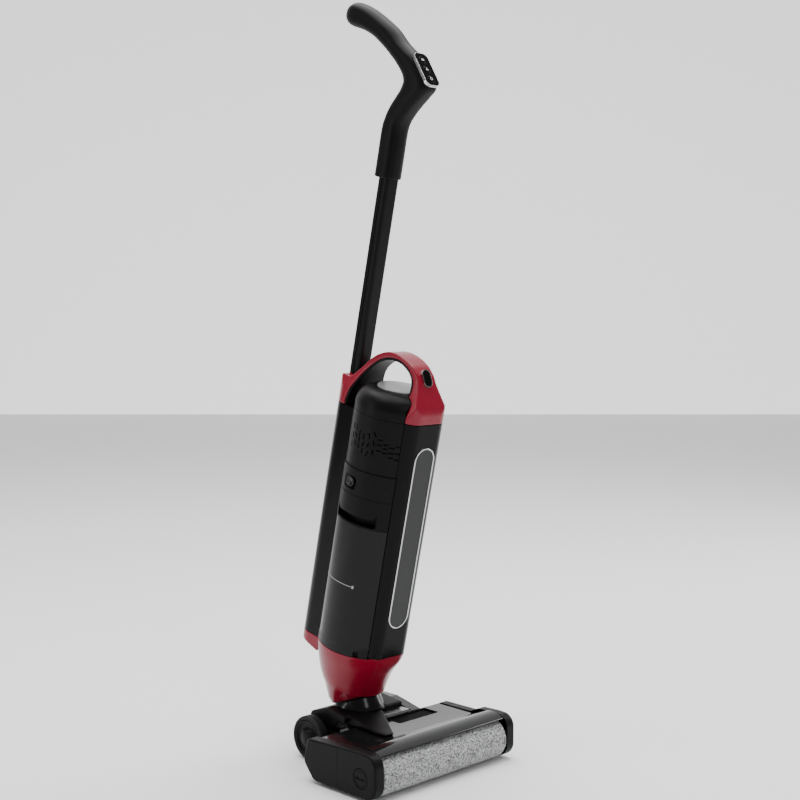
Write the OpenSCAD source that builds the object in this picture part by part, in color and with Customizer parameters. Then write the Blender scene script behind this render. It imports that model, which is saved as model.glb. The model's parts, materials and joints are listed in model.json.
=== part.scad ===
// Cordless wet and dry floor scrubber: a powered cleaning head with a soaked roller, an upright
// body that leans on the head, a slide-out dirty water tank and a bent grip on a slim pole.
// Millimetres, +Z up, front of the machine towards -Y.

/* [Head] */
// Length of the cleaning roller
roller_len = 244; // [200:1:280]
// Diameter of the roller over its pile
roller_d = 62; // [50:1:70]
// Width of the head over both end caps
head_w = 280; // [240:1:320]
// Diameter of the rear wheels over their tyres
wheel_d = 64; // [50:1:70]

/* [Body] */
// Forward lean of the parked body, in degrees
lean = 12.7; // [0:0.1:18]
// Backward tilt of the swivel axis, in degrees
swivel_tilt = 19; // [10:1:30]
// Outer radius of the tank and filter cylinder
tank_r = 64; // [55:0.5:70]
// Outer radius of the motor housing
housing_r = 62.3; // [54:0.1:70]
// Half width of the front column
column_hw = 36; // [30:1:40]

/* [Handle] */
// Height of the pole's upper end along the body axis
pole_top = 846; // [700:1:900]
// Width of the handle and its grip
grip_w = 32; // [26:1:36]

/* [Hidden] */
$fn = 96;
eps = 0.01;
gap = 0.3;
wall = 2.5;

// ---- head ----
roller_r = roller_d / 2;
core_r = 22;
roller_z = roller_r;
// moves the middle of the overall box over the origin
y_shift = -111.84;
cap_t = 16;
cap_x = head_w / 2;
cover_z = 57;
cover_rear = 108;
wheel_r = wheel_d / 2;
axle_y = 178;
axle_z = wheel_r;
axle_r = 5;
axle_clear = 0.06;
hub_in = 64;
hub_out = 80;
motor_y = 74;
motor_z = 34;
motor_r = 17;

// ---- neck ----
swivel_y = 160;
swivel_z = 79;
collar_r = 38;
collar_h = 23;
ring_r = 31;
ring_clear = 0.08;

// ---- body, heights along the body axis from the wheel axle ----
seam_tank = 138;
seam_column = 140;
spine_lo = 126;
tank_lo = seam_tank + 0.4;
foot_hi = 152;
tank_hi = 330;
filter_hi = 409;
column_hi = 488;
shoulder_lo = 498;
shoulder_hi = 523;
disc_r = 35;
column_y = -64.5;
clean_y = -31;
rear_y = 107;
rear_hw = 32;
rear_hi = 480;
pole_y = 90;
jack_z = 140;
jack_r = 6.5;
loop_lo = 185;
loop_hi = 455;
loop_hw = 19.3;

// ---- helpers ----
function unit(v) = v / norm(v);
// Points of one corner rounded with radius r, n steps.
function corner(a, b, c, r, n) =
  let (u = unit(a - b), v = unit(c - b), half = acos(u * v) / 2,
       d = r / tan(half), p = b + u * d, q = b + v * d,
       m = unit(u + v), o = b + m * (r / sin(half)),
       a0 = atan2(p[1] - o[1], p[0] - o[0]), a1 = atan2(q[1] - o[1], q[0] - o[0]),
       s = a1 - a0, t = s > 180 ? s - 360 : (s < -180 ? s + 360 : s))
  [for (i = [0:n]) o + r * [cos(a0 + t * i / n), sin(a0 + t * i / n)]];
// Polygon [x, y, r] with every corner rounded by its own r.
function rounded(p, n = 6) = [for (i = [0:len(p) - 1])
  let (a = p[(i + len(p) - 1) % len(p)], b = p[i], c = p[(i + 1) % len(p)])
  for (q = (b[2] > 0 ? corner([a[0], a[1]], [b[0], b[1]], [c[0], c[1]], b[2], n) : [[b[0], b[1]]])) q];
// Closed outline moved inwards by d; the outline runs counter-clockwise.
function inset(p, d) = [for (i = [0:len(p) - 1])
  let (a = p[(i + len(p) - 1) % len(p)], b = p[i], c = p[(i + 1) % len(p)],
       u = unit(b - a), v = unit(c - b), n1 = [-u[1], u[0]], n2 = [-v[1], v[0]], m = unit(n1 + n2))
  b + m * d / max(0.5, m * n1)];
function box_pts(x0, y0, x1, y1, r, n = 6) =
  rounded([[x0, y0, r], [x1, y0, r], [x1, y1, r], [x0, y1, r]], n);
// Side profile (Y, Z) extruded along X from x0 to x1.
module side(x0, x1) translate([x0, 0, 0]) rotate([90, 0, 90]) linear_extrude(x1 - x0) children();
// Front profile (X, Z) extruded along Y from y0 to y1.
module front(y0, y1) translate([0, y1, 0]) rotate([90, 0, 0]) linear_extrude(y1 - y0) children();
// Profile in plan extruded from z0 to z1.
module plan(z0, z1) translate([0, 0, z0]) linear_extrude(z1 - z0) children();
module along_x(x0, x1) translate([x0, 0, 0]) rotate([0, 90, 0]) linear_extrude(x1 - x0) children();
module placed() translate([0, y_shift, 0]) children();
module at_axle() placed() translate([0, axle_y, axle_z]) children();
module body() at_axle() rotate([lean, 0, 0]) children();
module on_swivel() translate([0, swivel_y, swivel_z]) rotate([-swivel_tilt, 0, 0]) children();
module neck() placed() on_swivel() children();
module at_roller() placed() translate([0, 0, roller_z]) children();

// ---- head profiles (Y, Z) ----
cap_pts = rounded([[96, 4, 12], [117, 28, 12], [108, 61.5, 7], [36, 65, 20], [0, 66.5, 20],
                   [-29, 65, 18], [-29, 4, 20]], 8);
base_pts = rounded([[24, 8, 2], [30, 7, 3], [96, 6, 10], [cover_rear, 22, 6],
                    [cover_rear, 54, 1], [24, 54, 1]], 4);
hood_in = 34.2;
hood_out = 37;
function arc(r, a0, a1, n) = [for (i = [0:n]) let (a = a0 + (a1 - a0) * i / n)
  [r * cos(a), roller_z + r * sin(a)]];
hood_pts = concat(arc(hood_out, 126, 62, 12), [[31, 60], [38, cover_z], [cover_rear, cover_z],
  [cover_rear, cover_z - wall], [36, cover_z - wall], [29, 57]], arc(hood_in, 60, 126, 12));

screw_at = [[-105, 52], [105, 52], [-40, 86], [40, 86]];
module head_base() color("#1b1c1e") placed() union() {
  difference() {
    side(-cap_x + cap_t + gap, cap_x - cap_t - gap) difference() {
      polygon(base_pts);
      translate([0, roller_z]) circle(hood_in + 0.2);
      polygon(rounded([[44, 10.5, 2], [93, 9, 7], [cover_rear - wall, 23, 4],
                       [cover_rear - wall, 60, 0], [39, 60, 0]], 3));
    }
    for (p = screw_at) translate([p[0], p[1], 0]) {
      cylinder(r = 3.05, h = 9.43, $fn = 24);
      cylinder(r = 1.65, h = 13, $fn = 24);
    }
    // suction mouth behind the roller
    translate([-60, 26, 9]) cube([120, 24, 8]);
    // room for the hood button and its spring
    translate([-4, cover_rear - 0.6, 44]) cube([67, 20, 30]);
  }
  // ears that carry the wheel axle
  for (sx = [-1, 1]) difference() {
    translate([sx * 60.3, 0, 0]) side(-1.7, 1.7) difference() {
      union() {
        polygon(rounded([[cover_rear - 1, 16, 0], [axle_y, 16, 6], [axle_y + 12, 26, 6],
                         [axle_y + 12, 44, 8], [axle_y - 8, 45.4, 8], [cover_rear - 1, 45.4, 0]], 4));
      }
      translate([axle_y, axle_z]) circle(axle_r);
    }
  }
}

module head_cover() color("#3a3d40") placed() difference() {
  union() {
    side(-cap_x + cap_t + gap, cap_x - cap_t - gap) polygon(hood_pts);
    // tongue under the button
    translate([-7, cover_rear - 1, cover_z - wall]) cube([73, 22, wall]);
  }
  // window recess, cut through
  translate([9.2, 76.2, cover_z - 10]) cube([80.6, 38.6 - 8, 20]);
  // button opening
  translate([button_x - 0.3, 107.7, cover_z - 10]) cube([62.6 - button_x, 18.6, 20]);
}

module cover_window() color("#0c0c0d") placed()
  translate([9.4, 76.4, cover_z - 2.2]) cube([80.2, 30.2, 1.6]);

button_x = 15;
module hood_button() color("#9a9da0") placed() difference() {
  translate([button_x, 108, cover_z - 8]) cube([62 - button_x, 18, 11.5]);
  translate([button_x + 2, 110, cover_z - 8.01]) cube([58 - button_x, 14, 9]);
}

// end caps: a shell with a closed outer wall
module cap_shell(x0, x1, inner) difference() {
  side(x0, x1) polygon(cap_pts);
  side(inner ? x0 - 1 : x0 + wall, inner ? x1 - wall : x1 + 1) polygon(inset(cap_pts, wall));
}

module side_cap_right() color("#17181a") placed() union() {
  cap_shell(cap_x - cap_t, cap_x, true);
  // inner wall behind the belt, with the roller bearing boss
  difference() {
    side(cap_x - cap_t, cap_x - cap_t + 2) polygon(inset(cap_pts, 0.6));
    translate([0, 0, roller_z]) along_x(cap_x - cap_t - 1, cap_x - cap_t + 3) circle(9);
    translate([0, motor_y, motor_z]) along_x(cap_x - cap_t - 1, cap_x - cap_t + 3) circle(8);
  }
}

seam_y = 46;
module side_cap_left() color("#17181a") placed() difference() {
  mirror([1, 0, 0]) cap_shell(cap_x - cap_t, cap_x, true);
  translate([-cap_x - 5, -60, -1]) cube([cap_t + 10, 60 + seam_y + 0.15, 90]);
}

module roller_end_cover() color("#17181a") placed() difference() {
  union() {
    intersection() {
      mirror([1, 0, 0]) cap_shell(cap_x - cap_t, cap_x, true);
      translate([-cap_x - 5, -60, -1]) cube([cap_t + 10, 60 + seam_y - 0.15, 90]);
    }
    // journal the roller core turns on
    translate([0, 0, roller_z]) along_x(-cap_x + wall - 0.5, -roller_len / 2 + 14) circle(8);
    translate([0, 0, roller_z]) along_x(-cap_x + wall - 0.5, -cap_x + 10) circle(17.2);
  }
  translate([0, 0, roller_z]) along_x(-cap_x - 1, -cap_x + 5.6) circle(14.3);
}

module release_disc() color("#1e1f22") placed() translate([0, 0, roller_z]) difference() {
  along_x(-cap_x + 0.2, -cap_x + 3.4) circle(14);
  translate([-cap_x - 1, -9, -2.2]) cube([1.8, 18, 4.4]);
}

module roller_sleeve() color("#b9babb") at_roller() along_x(-roller_len / 2, roller_len / 2)
  difference() { circle(roller_r); circle(core_r + 0.02); }

module roller_core() color("#2a2b2d") at_roller() difference() {
  union() {
    along_x(-roller_len / 2 + 1, roller_len / 2 - 1) difference() { circle(core_r); circle(core_r - 2); }
    along_x(-roller_len / 2 + 1, -roller_len / 2 + 16) difference() { circle(core_r - 1); circle(8.06); }
    along_x(roller_len / 2 - 14, roller_len / 2 - 1) difference() { circle(core_r - 1); circle(6.4, $fn = 6); }
  }
}

// toothed pulleys and belt on the driven side
belt_x = cap_x - cap_t + 4.2;
belt_w = 6;
big_r = 17;
small_r = 8.5;
module toothed(r, n) difference() {
  circle(r);
  for (i = [0:n - 1]) rotate(i * 360 / n) translate([r - 0.2, 0]) square([1.6, 1.3], center = true);
}
module motor_pulley() color("#8d8f92") placed() translate([0, motor_y, motor_z]) union() {
  along_x(belt_x - 0.5, belt_x + belt_w + 0.5) toothed(small_r, 16);
  along_x(cap_x - cap_t - 7.7, belt_x) circle(3);
}
module drive_pulley() color("#d8d4c8") at_roller() union() {
  along_x(belt_x - 0.5, belt_x + belt_w + 0.5) toothed(big_r, 32);
  along_x(cap_x - cap_t - 1.2, belt_x) circle(8.95);
  along_x(roller_len / 2 - 11, cap_x - cap_t) circle(6.3, $fn = 6);
}
// outline around both pulleys, d outside their rims
function belt_pts(d) = let (v = [motor_y, motor_z - roller_z], base = atan2(v[1], v[0]),
    open = acos((big_r - small_r) / norm(v)))
  concat([for (i = [0:24]) let (a = base + open + (360 - 2 * open) * i / 24)
            [(big_r + d) * cos(a), roller_z + (big_r + d) * sin(a)]],
         [for (i = [0:12]) let (a = base - open + 2 * open * i / 12)
            [motor_y + (small_r + d) * cos(a), motor_z + (small_r + d) * sin(a)]]);
module drive_belt() color("#141414") placed() side(belt_x, belt_x + belt_w) difference() {
  polygon(belt_pts(1.9));
  polygon(belt_pts(0.25));
}

module brush_motor() color("#5a5d61") placed() translate([0, motor_y, motor_z]) difference() {
  union() {
    along_x(52, cap_x - cap_t - 8) circle(motor_r);
    along_x(46, 52.01) circle(8);
    // saddle under the motor
    translate([60, -12, -23.3]) cube([46, 24, 9]);
  }
  along_x(cap_x - cap_t - 16, cap_x - cap_t - 7) circle(3.06);
}

module scraper_blade() color("#202123") placed() side(-roller_len / 2 + 2, roller_len / 2 - 2)
  polygon([[28, 4.5], [31.2, 4.5], [34.5, 6.8], [40, 6.8], [40, 4.2], [32.5, 1.2]]);

module spray_bar() color("#c9cbcc") placed() difference() {
  side(-110, 40) polygon(rounded([[41, 40, 1.5], [50, 40, 1.5], [50, 50, 1.5], [41, 50, 1.5]], 3));
  side(-108, 41) polygon([[43, 42], [48, 42], [48, 48], [43, 48]]);
  for (x = [-100:20:30]) translate([x, 36, 45]) rotate([-90, 0, 0]) cylinder(r = 0.6, h = 8, $fn = 12);
}

// channel from the suction mouth to the neck
module suction_duct() color("#a01522") placed() difference() {
  union() {
    side(-118, -44) polygon(rounded([[56, 12.5, 3], [91, 12.5, 6], [102, 26, 4], [102, 49, 5], [56, 49, 5]], 4));
    translate([-44.01, 66, 14]) cube([74, 30, 18]);
  }
  side(-116, -42) polygon(rounded([[58, 14.5, 2], [90, 14.5, 5], [100, 26.5, 3], [100, 47, 4], [58, 47, 4]], 3));
  translate([-45, 68, 16]) cube([73, 26, 14]);
}

module wheel_axle() color("#b8bbbf") at_axle() along_x(-hub_out - 1.6, hub_out + 1.6) circle(axle_r - 0.02);

module wheel_hub(s) at_axle() scale_x(s) difference() {
  union() {
    along_x(hub_in, hub_out) circle(12);
    along_x(hub_in + 1, hub_out - 1.5) difference() { circle(wheel_r - 5); circle(wheel_r - 9); }
    along_x(hub_out - 6, hub_out - 2.5) difference() { circle(wheel_r - 8); circle(10); }
  }
  along_x(hub_in - 1, hub_out + 1) circle(axle_r + axle_clear);
}
module scale_x(s) { if (s < 0) mirror([1, 0, 0]) children(); else children(); }
module tyre(s) at_axle() scale_x(s) difference() {
  rotate([0, 90, 0]) rotate_extrude() polygon([[wheel_r - 5 + 0.02, hub_in + 0.6], [wheel_r - 1.2, hub_in + 0.6],
    [wheel_r, hub_in + 2.4], [wheel_r, hub_out - 2.4], [wheel_r - 1.2, hub_out - 0.6],
    [wheel_r - 5 + 0.02, hub_out - 0.6]]);
  for (k = [0:2]) rotate([0, 90, 0]) translate([0, 0, hub_in + 4 + 3.6 * k])
    rotate_extrude() translate([wheel_r - 0.7, 0]) square([2, 1.2]);
}
module wheel_hub_left() color("#202225") wheel_hub(-1);
module wheel_hub_right() color("#202225") wheel_hub(1);
module tyre_left() color("#2b2c2e") tyre(-1);
module tyre_right() color("#2b2c2e") tyre(1);

// fairing over the right wheel, level with the cover and rising to the rear
module wheel_guard() color("#3a3d40") placed() difference() {
  side(66.5, 84) polygon(rounded([[cover_rear + 0.3, 30, 0], [cover_rear + 0.3, cover_z, 2],
    [158, 67.5, 20], [198, 67, 22], [218.5, 36, 6], [216, 30, 0]], 4));
  side(60, 82) polygon(rounded([[cover_rear - 1, 20, 0], [cover_rear + 2.5, 52, 2],
    [156, 65.2, 18], [196, 65, 20], [216.2, 35, 5], [213.8, 20, 0]], 4));
}

module head_screws() color("#85888c") placed()
  for (p = screw_at) translate([p[0], p[1], 7.6]) union() {
      cylinder(r = 1.6, h = 5, $fn = 24);
      cylinder(r = 3, h = 1.8, $fn = 24);
    }

// ---- neck ----
module neck_yoke() color("#1a1b1d") difference() {
  union() {
    for (s = [-1, 1]) at_axle() scale_x(s) along_x(39, 58) circle(29);
    // shoulders from the drums up to the collar
    placed() intersection() {
      side(-58, 58) polygon(rounded([[152, 44, 4], [196, 34, 10], [203, 50, 12], [190, 70, 8],
        [168, 76, 6], [120, 71, 4], [120, 62, 2], [136, 60, 2]], 4));
      on_swivel() translate([0, 0, -60]) cylinder(r = 70, h = 58);
    }
    // blade that reaches forward over the cover
    placed() intersection() {
      plan(58.2, 74) polygon([[-47, 150], [-50, 108], [-54, 60], [-51, 43], [-36, 42], [0, 98], [14, 124], [14, 150]]);
      side(-60, 60) polygon([[40, 58.2], [40, 60.5], [60, 62], [120, 71.5], [150, 74], [150, 58.2]]);
    }
  }
  at_axle() along_x(-60, 60) circle(axle_r + axle_clear);
  // bore for the hose and the collar's seat
  neck() translate([0, 0, -80]) cylinder(r = 24, h = 82);
  neck() translate([0, 0, -collar_h - 0.02]) cylinder(r = collar_r + 0.02, h = 40);
  neck() translate([0, -9, -collar_h - 0.02]) cylinder(r = collar_r - 3.98, h = 40);
}

module swivel_collar() color("#141517") neck() difference() {
  union() {
    translate([0, 0, -collar_h]) cylinder(r = collar_r, h = collar_h - 1);
    translate([0, -9, -collar_h]) cylinder(r = collar_r - 4, h = collar_h - 2);
  }
  translate([0, 0, -collar_h + 5]) cylinder(r = ring_r, h = 40);
  translate([0, 0, -collar_h - 1]) cylinder(r = 24, h = 40);
}

module neck_hose() color("#232427") neck() difference() {
  translate([0, 0, -46]) cylinder(r = 21, h = 60);
  translate([0, 0, -47]) cylinder(r = 18.5, h = 62);
}

module swivel_ring() color("#2c2d30") neck() difference() {
  union() {
    translate([0, 0, -collar_h + 5.3]) cylinder(r = ring_r - ring_clear, h = collar_h + 4);
    translate([0, 0, 0.2]) cylinder(r = 33, h = 5);
  }
  translate([0, 0, -40]) cylinder(r = 25, h = 80);
}

// ---- body sections in plan ----
column_pts = rounded([[-column_hw, -20, 0], [-column_hw, column_y, 18], [column_hw, column_y, 18],
                      [column_hw, -20, 0]], 10);
rear_pts = rounded([[-rear_hw, 50, 0], [rear_hw, 50, 0], [rear_hw, rear_y, 27], [-rear_hw, rear_y, 27]], 10);
rear_in = rounded([[-rear_hw + wall, 40, 0], [rear_hw - wall, 40, 0], [rear_hw - wall, rear_y - wall, 25],
                   [-rear_hw + wall, rear_y - wall, 25]], 10);

// outer skin of the funnel, grown by d
module funnel_skin(d) hull() {
  body() translate([0, 0, seam_tank - 3]) cylinder(r = tank_r + d, h = 3, $fn = 72);
  body() translate([0, 0, 92]) cylinder(r = 57 + d, h = 1, $fn = 72);
  neck() translate([0, 0, 1.2]) cylinder(r = 34.5 + d, h = 1.2, $fn = 72);
}
module base_funnel() color("#b3182b") difference() {
  union() {
    funnel_skin(0);
    body() hull() {
      translate([0, 0, seam_column - 22]) plan(0, 22) polygon(column_pts);
      translate([0, 0, 94]) plan(0, 2) polygon(box_pts(-24, -46, 24, -20, 12, 5));
    }
  }
  hull() {
    body() translate([0, 0, seam_tank - 2.5]) cylinder(r = tank_r - 3, h = 8, $fn = 72);
    body() translate([0, 0, 94]) cylinder(r = 54, h = 1, $fn = 72);
    neck() translate([0, 0, -3]) cylinder(r = 31.5, h = 4, $fn = 72);
  }
  neck() translate([0, 0, -3]) cylinder(r = 33.05, h = 8.3, $fn = 72);
  body() plan(seam_tank - 0.2, 200) difference() { circle(tank_r + 0.4); polygon([[-column_hw, clean_y],
    [-column_hw, -80], [column_hw, -80], [column_hw, clean_y]]); }
}

module spine_shell() color("#17181a") body() union() {
  difference() {
    plan(spine_lo, rear_hi) difference() {
      union() {
        polygon(rear_pts);
        intersection() { circle(tank_r); polygon([[-40, 49.5], [0, 49.5], [0, -60], [80, -60], [80, 80], [-40, 80]]); }
      }
      intersection() { circle(tank_r - wall); translate([0, -100]) square([100, 152]); }
      intersection() { polygon(rear_in); translate([-60, 55]) square([120, 100]); }
      translate([-60, -100]) square([60, 152]);
      polygon([[-column_hw - 1, clean_y], [-column_hw - 1, -90], [column_hw + 0.3, -90], [column_hw + 0.3, clean_y]]);
    }
    // the funnel stands up inside the foot of the bay
    translate([0, 0, spine_lo - 1]) cylinder(r = tank_r + 0.2, h = seam_tank - spine_lo + 1.2);
    // motor housing sits above the tank bay
    plan(filter_hi + 0.6, rear_hi + 1) circle(housing_r + 0.3);
    // seat of the charging socket
    translate([0, rear_y - 5, jack_z]) rotate([-90, 0, 0]) cylinder(r = jack_r + 0.03, h = 9);
  }
  // floor of the rear column
  plan(spine_lo, spine_lo + 3) difference() { polygon(inset(rear_pts, 0.5)); circle(tank_r + 0.2); }
}

// inside of the column, d in from its skin, with front corners of radius r and rear ones of q
function column_room(d, r, q) = rounded([[-column_hw + d, column_y + d, r], [column_hw - d, column_y + d, r],
  [column_hw - d, clean_y - d, q], [-column_hw + d, clean_y - d, q]], 8);
module front_column() color("#121315") body() difference() {
  union() {
    plan(seam_column + 0.3, filter_hi) polygon(concat([[-column_hw, clean_y], [column_hw, clean_y]],
      [for (i = [len(column_pts) - 2:-1:1]) column_pts[i]]));
    plan(filter_hi - 1, column_hi) intersection() { polygon(column_pts); translate([-50, -80]) square([100, 30.2]); }
  }
  plan(seam_column + 3, filter_hi - 3) polygon(column_room(wall, 15, 2));
  // slot behind the level window
  front(column_y - 1, column_y + 6) loop_shape(-2.2);
}
// stadium outline of the level window, grown by d
module loop_shape(d) {
  r = loop_hw + d;
  for (z = [loop_lo + loop_hw, loop_hi - loop_hw]) translate([0, z]) circle(r);
  translate([-r, loop_lo + loop_hw]) square([2 * r, loop_hi - loop_lo - 2 * loop_hw]);
}
module level_loop() color("#d5d8db") body() front(column_y - 1.3, column_y - 0.02) difference() {
  loop_shape(0);
  loop_shape(-2.6);
}
module level_insert() color("#6f7174") body() front(column_y - 0.2, column_y + 1.6) loop_shape(-2.9);

module clean_tank() color("#9fb3bf") body() difference() {
  plan(seam_column + 3.5, filter_hi - 3.5) polygon(column_room(5, 12, 3));
  plan(seam_column + 5.5, filter_hi - 5.5) polygon(column_room(7, 10, 2));
}

// side profile of the carrying arch (Y, height)
arch_pts = [[column_y, 488.3], [column_y, 501], [-61.5, 513], [-55, 527], [-49, 539], [-42, 551], [-31, 561.5],
  [-16, 568.5], [0, 572], [12, 572.5], [25, 570.5], [40, 563.5], [51, 555.5], [60, 546], [67, 537], [73, 529],
  [77, 523], [80, 521], [98, 521], [102, 514], [105, 506], [rear_y, 497], [rear_y, 480.3], [50, 480.3], [30, 488.3]];
hole_pts = [[-35, 440], [-33, 500], [-39.5, 520], [-38.5, 536], [-29, 553], [-12, 563], [4, 565.5], [20, 563.5],
  [36, 556.5], [47, 548], [56, 538], [63, 527], [70, 512], [75, 498], [78.2, 489], [78.2, 440]];
module arch_width() polygon([[-42, 460], [-40, 484], [-28, 515], [-18.5, 540], [-17, 556], [-17, 590],
  [17, 590], [17, 556], [18.5, 540], [28, 515], [40, 484], [42, 460]]);
module housing_core(d) rotate_extrude() polygon(concat([[0, 400], [housing_r + d, 400]],
  [for (i = [0:8]) let (a = i * 90 / 8) [housing_r + d - 25 + 25 * cos(a), shoulder_lo + d + 25 * sin(a)]],
  [[0, shoulder_hi + d]]));
module carry_arch() color("#b3182b") body() difference() {
  intersection() {
    side(-60, 60) difference() { polygon(arch_pts); polygon(hole_pts); }
    front(-90, 130) arch_width();
    plan(400, 600) union() {
      polygon(column_pts);
      translate([-18.8, -30]) square([37.6, 90]);
      polygon(rear_pts);
    }
  }
  difference() {
    housing_core(0.3);
    translate([-column_hw - 0.3, -90, 380]) cube([2 * column_hw + 0.6, 40, 250]);
  }
  // socket of the pole
  plan(470, 600) polygon(box_pts(-12.3, pole_y - 10.3, 12.3, pole_y + 10.3, 5.2, 4));
  // hollow behind the front leg
  plan(480, 514) polygon(box_pts(-25, column_y + 3.2, 25, -46, 6, 5));
  // seat of the arch button
  translate([0, -41.5, 547.8]) rotate([58, 0, 0]) translate([0, 0, -4]) cylinder(r = 8.4, h = 20, $fn = 48);
}
module arch_liner() color("#101113") body() difference() {
  intersection() {
    side(-60, 60) difference() {
      polygon(inset([for (i = [len(hole_pts) - 1:-1:0]) hole_pts[i]], 0.15));
      polygon(inset([for (i = [len(hole_pts) - 1:-1:0]) hole_pts[i]], 3.6));
    }
    front(-90, 130) offset(delta = -0.6) arch_width();
    plan(400, 600) union() {
      translate([-18.2, -45]) square([36.4, 105]);
      polygon(inset(rear_pts, 0.6));
    }
  }
  housing_core(0.4);
  translate([-60, -90, 430]) cube([120, 130, 82]);
  translate([-60, 30, 430]) cube([120, 60, 51]);
}
module arch_button() color("#0e0f10") body() translate([0, -41.5, 547.8]) rotate([58, 0, 0])
  translate([0, 0, -1.6]) cylinder(r = 8.1, h = 7.2, $fn = 48);

// ---- motor housing with its slotted vents ----
module motor_housing() color("#1c1d20") body() difference() {
  difference() {
    housing_core(0);
    difference() {
      rotate_extrude() polygon(concat([[0, 420], [housing_r - wall, 420]],
        [for (i = [0:8]) let (a = i * 90 / 8) [housing_r - 25 + 22.5 * cos(a), shoulder_lo + 22.5 * sin(a)]],
        [[0, shoulder_hi - wall]]));
      translate([-column_hw - 3, -90, 380]) cube([2 * column_hw + 6, 43, 250]);
    }
    translate([-100, -100, 390]) cube([200, 200, filter_hi + 0.6 - 390]);
    translate([-column_hw - 0.3, -90, 380]) cube([2 * column_hw + 0.6, 40.3, 250]);
    translate([0, 0, shoulder_hi - 1.1]) cylinder(r = disc_r + 0.2, h = 10);
    translate([0, 0, shoulder_hi - 8]) cylinder(r = disc_r - 4, h = 10);
  }
  // wavy band of slots on the open side
  for (i = [0:8]) for (k = [0:2]) rotate([0, 0, 168 + 8.5 * i])
    translate([-10, -1.2, 436 + 11 * k + 6 * sin(50 * i)]) translate([housing_r, 0, 0]) cube([20, 2.4, 7]);
  // intake port towards the filter
  translate([0, 6, 400]) cylinder(r = 20, h = 30);
}
module top_disc() color("#a9acae") body() translate([0, 0, shoulder_hi - 1]) difference() {
  union() { cylinder(r = disc_r, h = 3.4); translate([0, 0, -4]) cylinder(r = disc_r - 4.2, h = 5); }
  translate([0, 0, -5]) cylinder(r = disc_r - 7, h = 5);
}
module suction_motor() color("#6a6d70") body() translate([0, 6, 0]) difference() {
  union() {
    translate([0, 0, 436.4]) cylinder(r = 34, h = 46);
    translate([0, 0, 420.2]) cylinder(r = 40, h = 16.3);
  }
  translate([0, 0, 419]) cylinder(r = 37, h = 15.4);
  translate([0, 0, 425]) cylinder(r = 3.06, h = 40);
}
module impeller() color("#c3c5c7") body() translate([0, 6, 0]) union() {
  translate([0, 0, 430.5]) cylinder(r = 34, h = 2);
  translate([0, 0, 422.5]) cylinder(r = 8, h = 9);
  translate([0, 0, 422.5]) cylinder(r = 3, h = 38);
  for (i = [0:7]) rotate([0, 0, 45 * i]) translate([7, -0.8, 422.5]) cube([25, 1.6, 8.5]);
}

module battery_pack() color("#2f4f8a") body() plan(150, 375)
  polygon(box_pts(-22, 64, 22, 96, 6, 4));
module circuit_board() color("#1f5d3a") body() translate([-20, 72, 382]) cube([40, 1.6, 44]);
module water_pump() color("#3b3d40") body() union() {
  translate([-16, 66, 129.2]) cube([32, 22, 19]);
  translate([-4, 59.5, 143]) rotate([-90, 0, 0]) cylinder(r = 3, h = 8, $fn = 32);
}
module charge_socket() color("#0d0d0e") body() difference() {
  translate([0, rear_y - 12, jack_z]) rotate([-90, 0, 0]) cylinder(r = jack_r, h = 12.6);
  translate([0, rear_y - 8, jack_z]) rotate([-90, 0, 0]) cylinder(r = 2.75, h = 12);
}
module foot_cap() color("#b3182b") body() difference() {
  intersection() {
    plan(90, spine_lo - 0.3) polygon(rear_pts);
    side(-60, 60) polygon(rounded([[56, 104, 3], [72, 107, 8], [97, 112, 14], [rear_y, 128, 10], [rear_y, 140, 0], [56, 140, 0]], 6));
  }
  translate([0, 0, 60]) cylinder(r = tank_r + 0.3, h = 70);
  plan(117, 140) polygon(inset(rear_pts, wall + 0.2));
}
module park_tab() color("#1a1b1d") body() difference() {
  side(-9, 9) polygon(rounded([[61, 83, 1], [65, 79, 2], [71, 85, 3], [72, 106.6, 1], [65, 105.2, 1]], 3));
  translate([-20, 66.5, 88]) rotate([0, 90, 0]) cylinder(r = 2, h = 40, $fn = 24);
}

// ---- dirty tank and filter ----
module tank_section(r) difference() {
  intersection() {
    circle(r);
    translate([-80, -80]) square([160, 80 + 48.5]);
    union() { translate([-80, -80]) square([80, 160]); circle(tank_r - wall - 0.6 - (tank_r - 0.3 - r)); }
  }
  translate([-column_hw - 0.6 - (tank_r - 0.3 - r), -90]) square([200, 90 + clean_y + 0.6 + (tank_r - 0.3 - r)]);
}
riser_r = 14;
module dirty_tank() color([0.12, 0.11, 0.12, 0.6]) body() difference() {
  union() {
    difference() {
      plan(foot_hi + 0.02, tank_hi) tank_section(tank_r - 0.3);
      plan(foot_hi + 2.4, tank_hi + 1) tank_section(tank_r - 2.8);
    }
    translate([0, 6, foot_hi + 1]) cylinder(r = riser_r, h = 152);
  }
  translate([0, 6, foot_hi - 3]) cylinder(r = riser_r - 2, h = 185);
}
module tank_foot() color("#202123") body() difference() {
  plan(tank_lo, foot_hi) tank_section(tank_r - 0.3);
  plan(tank_lo - 1, foot_hi - 2.4) tank_section(tank_r - 3.3);
  translate([-66, -44, tank_lo - 1]) cube([20, 7, 9]);
  translate([0, 6, foot_hi - 3]) cylinder(r = riser_r - 2, h = 6);
}
lip_lo = 344;
pocket_hi = 368;
module pocket(d, z0, z1) intersection() {
  plan(z0, z1) difference() { circle(tank_r + 20 * (d < 1 ? 1 : -0.05)); circle(tank_r - 13 - d); }
  translate([-90, -40 - d, 0]) cube([60, 74 + 2 * d, 600]);
}
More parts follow.
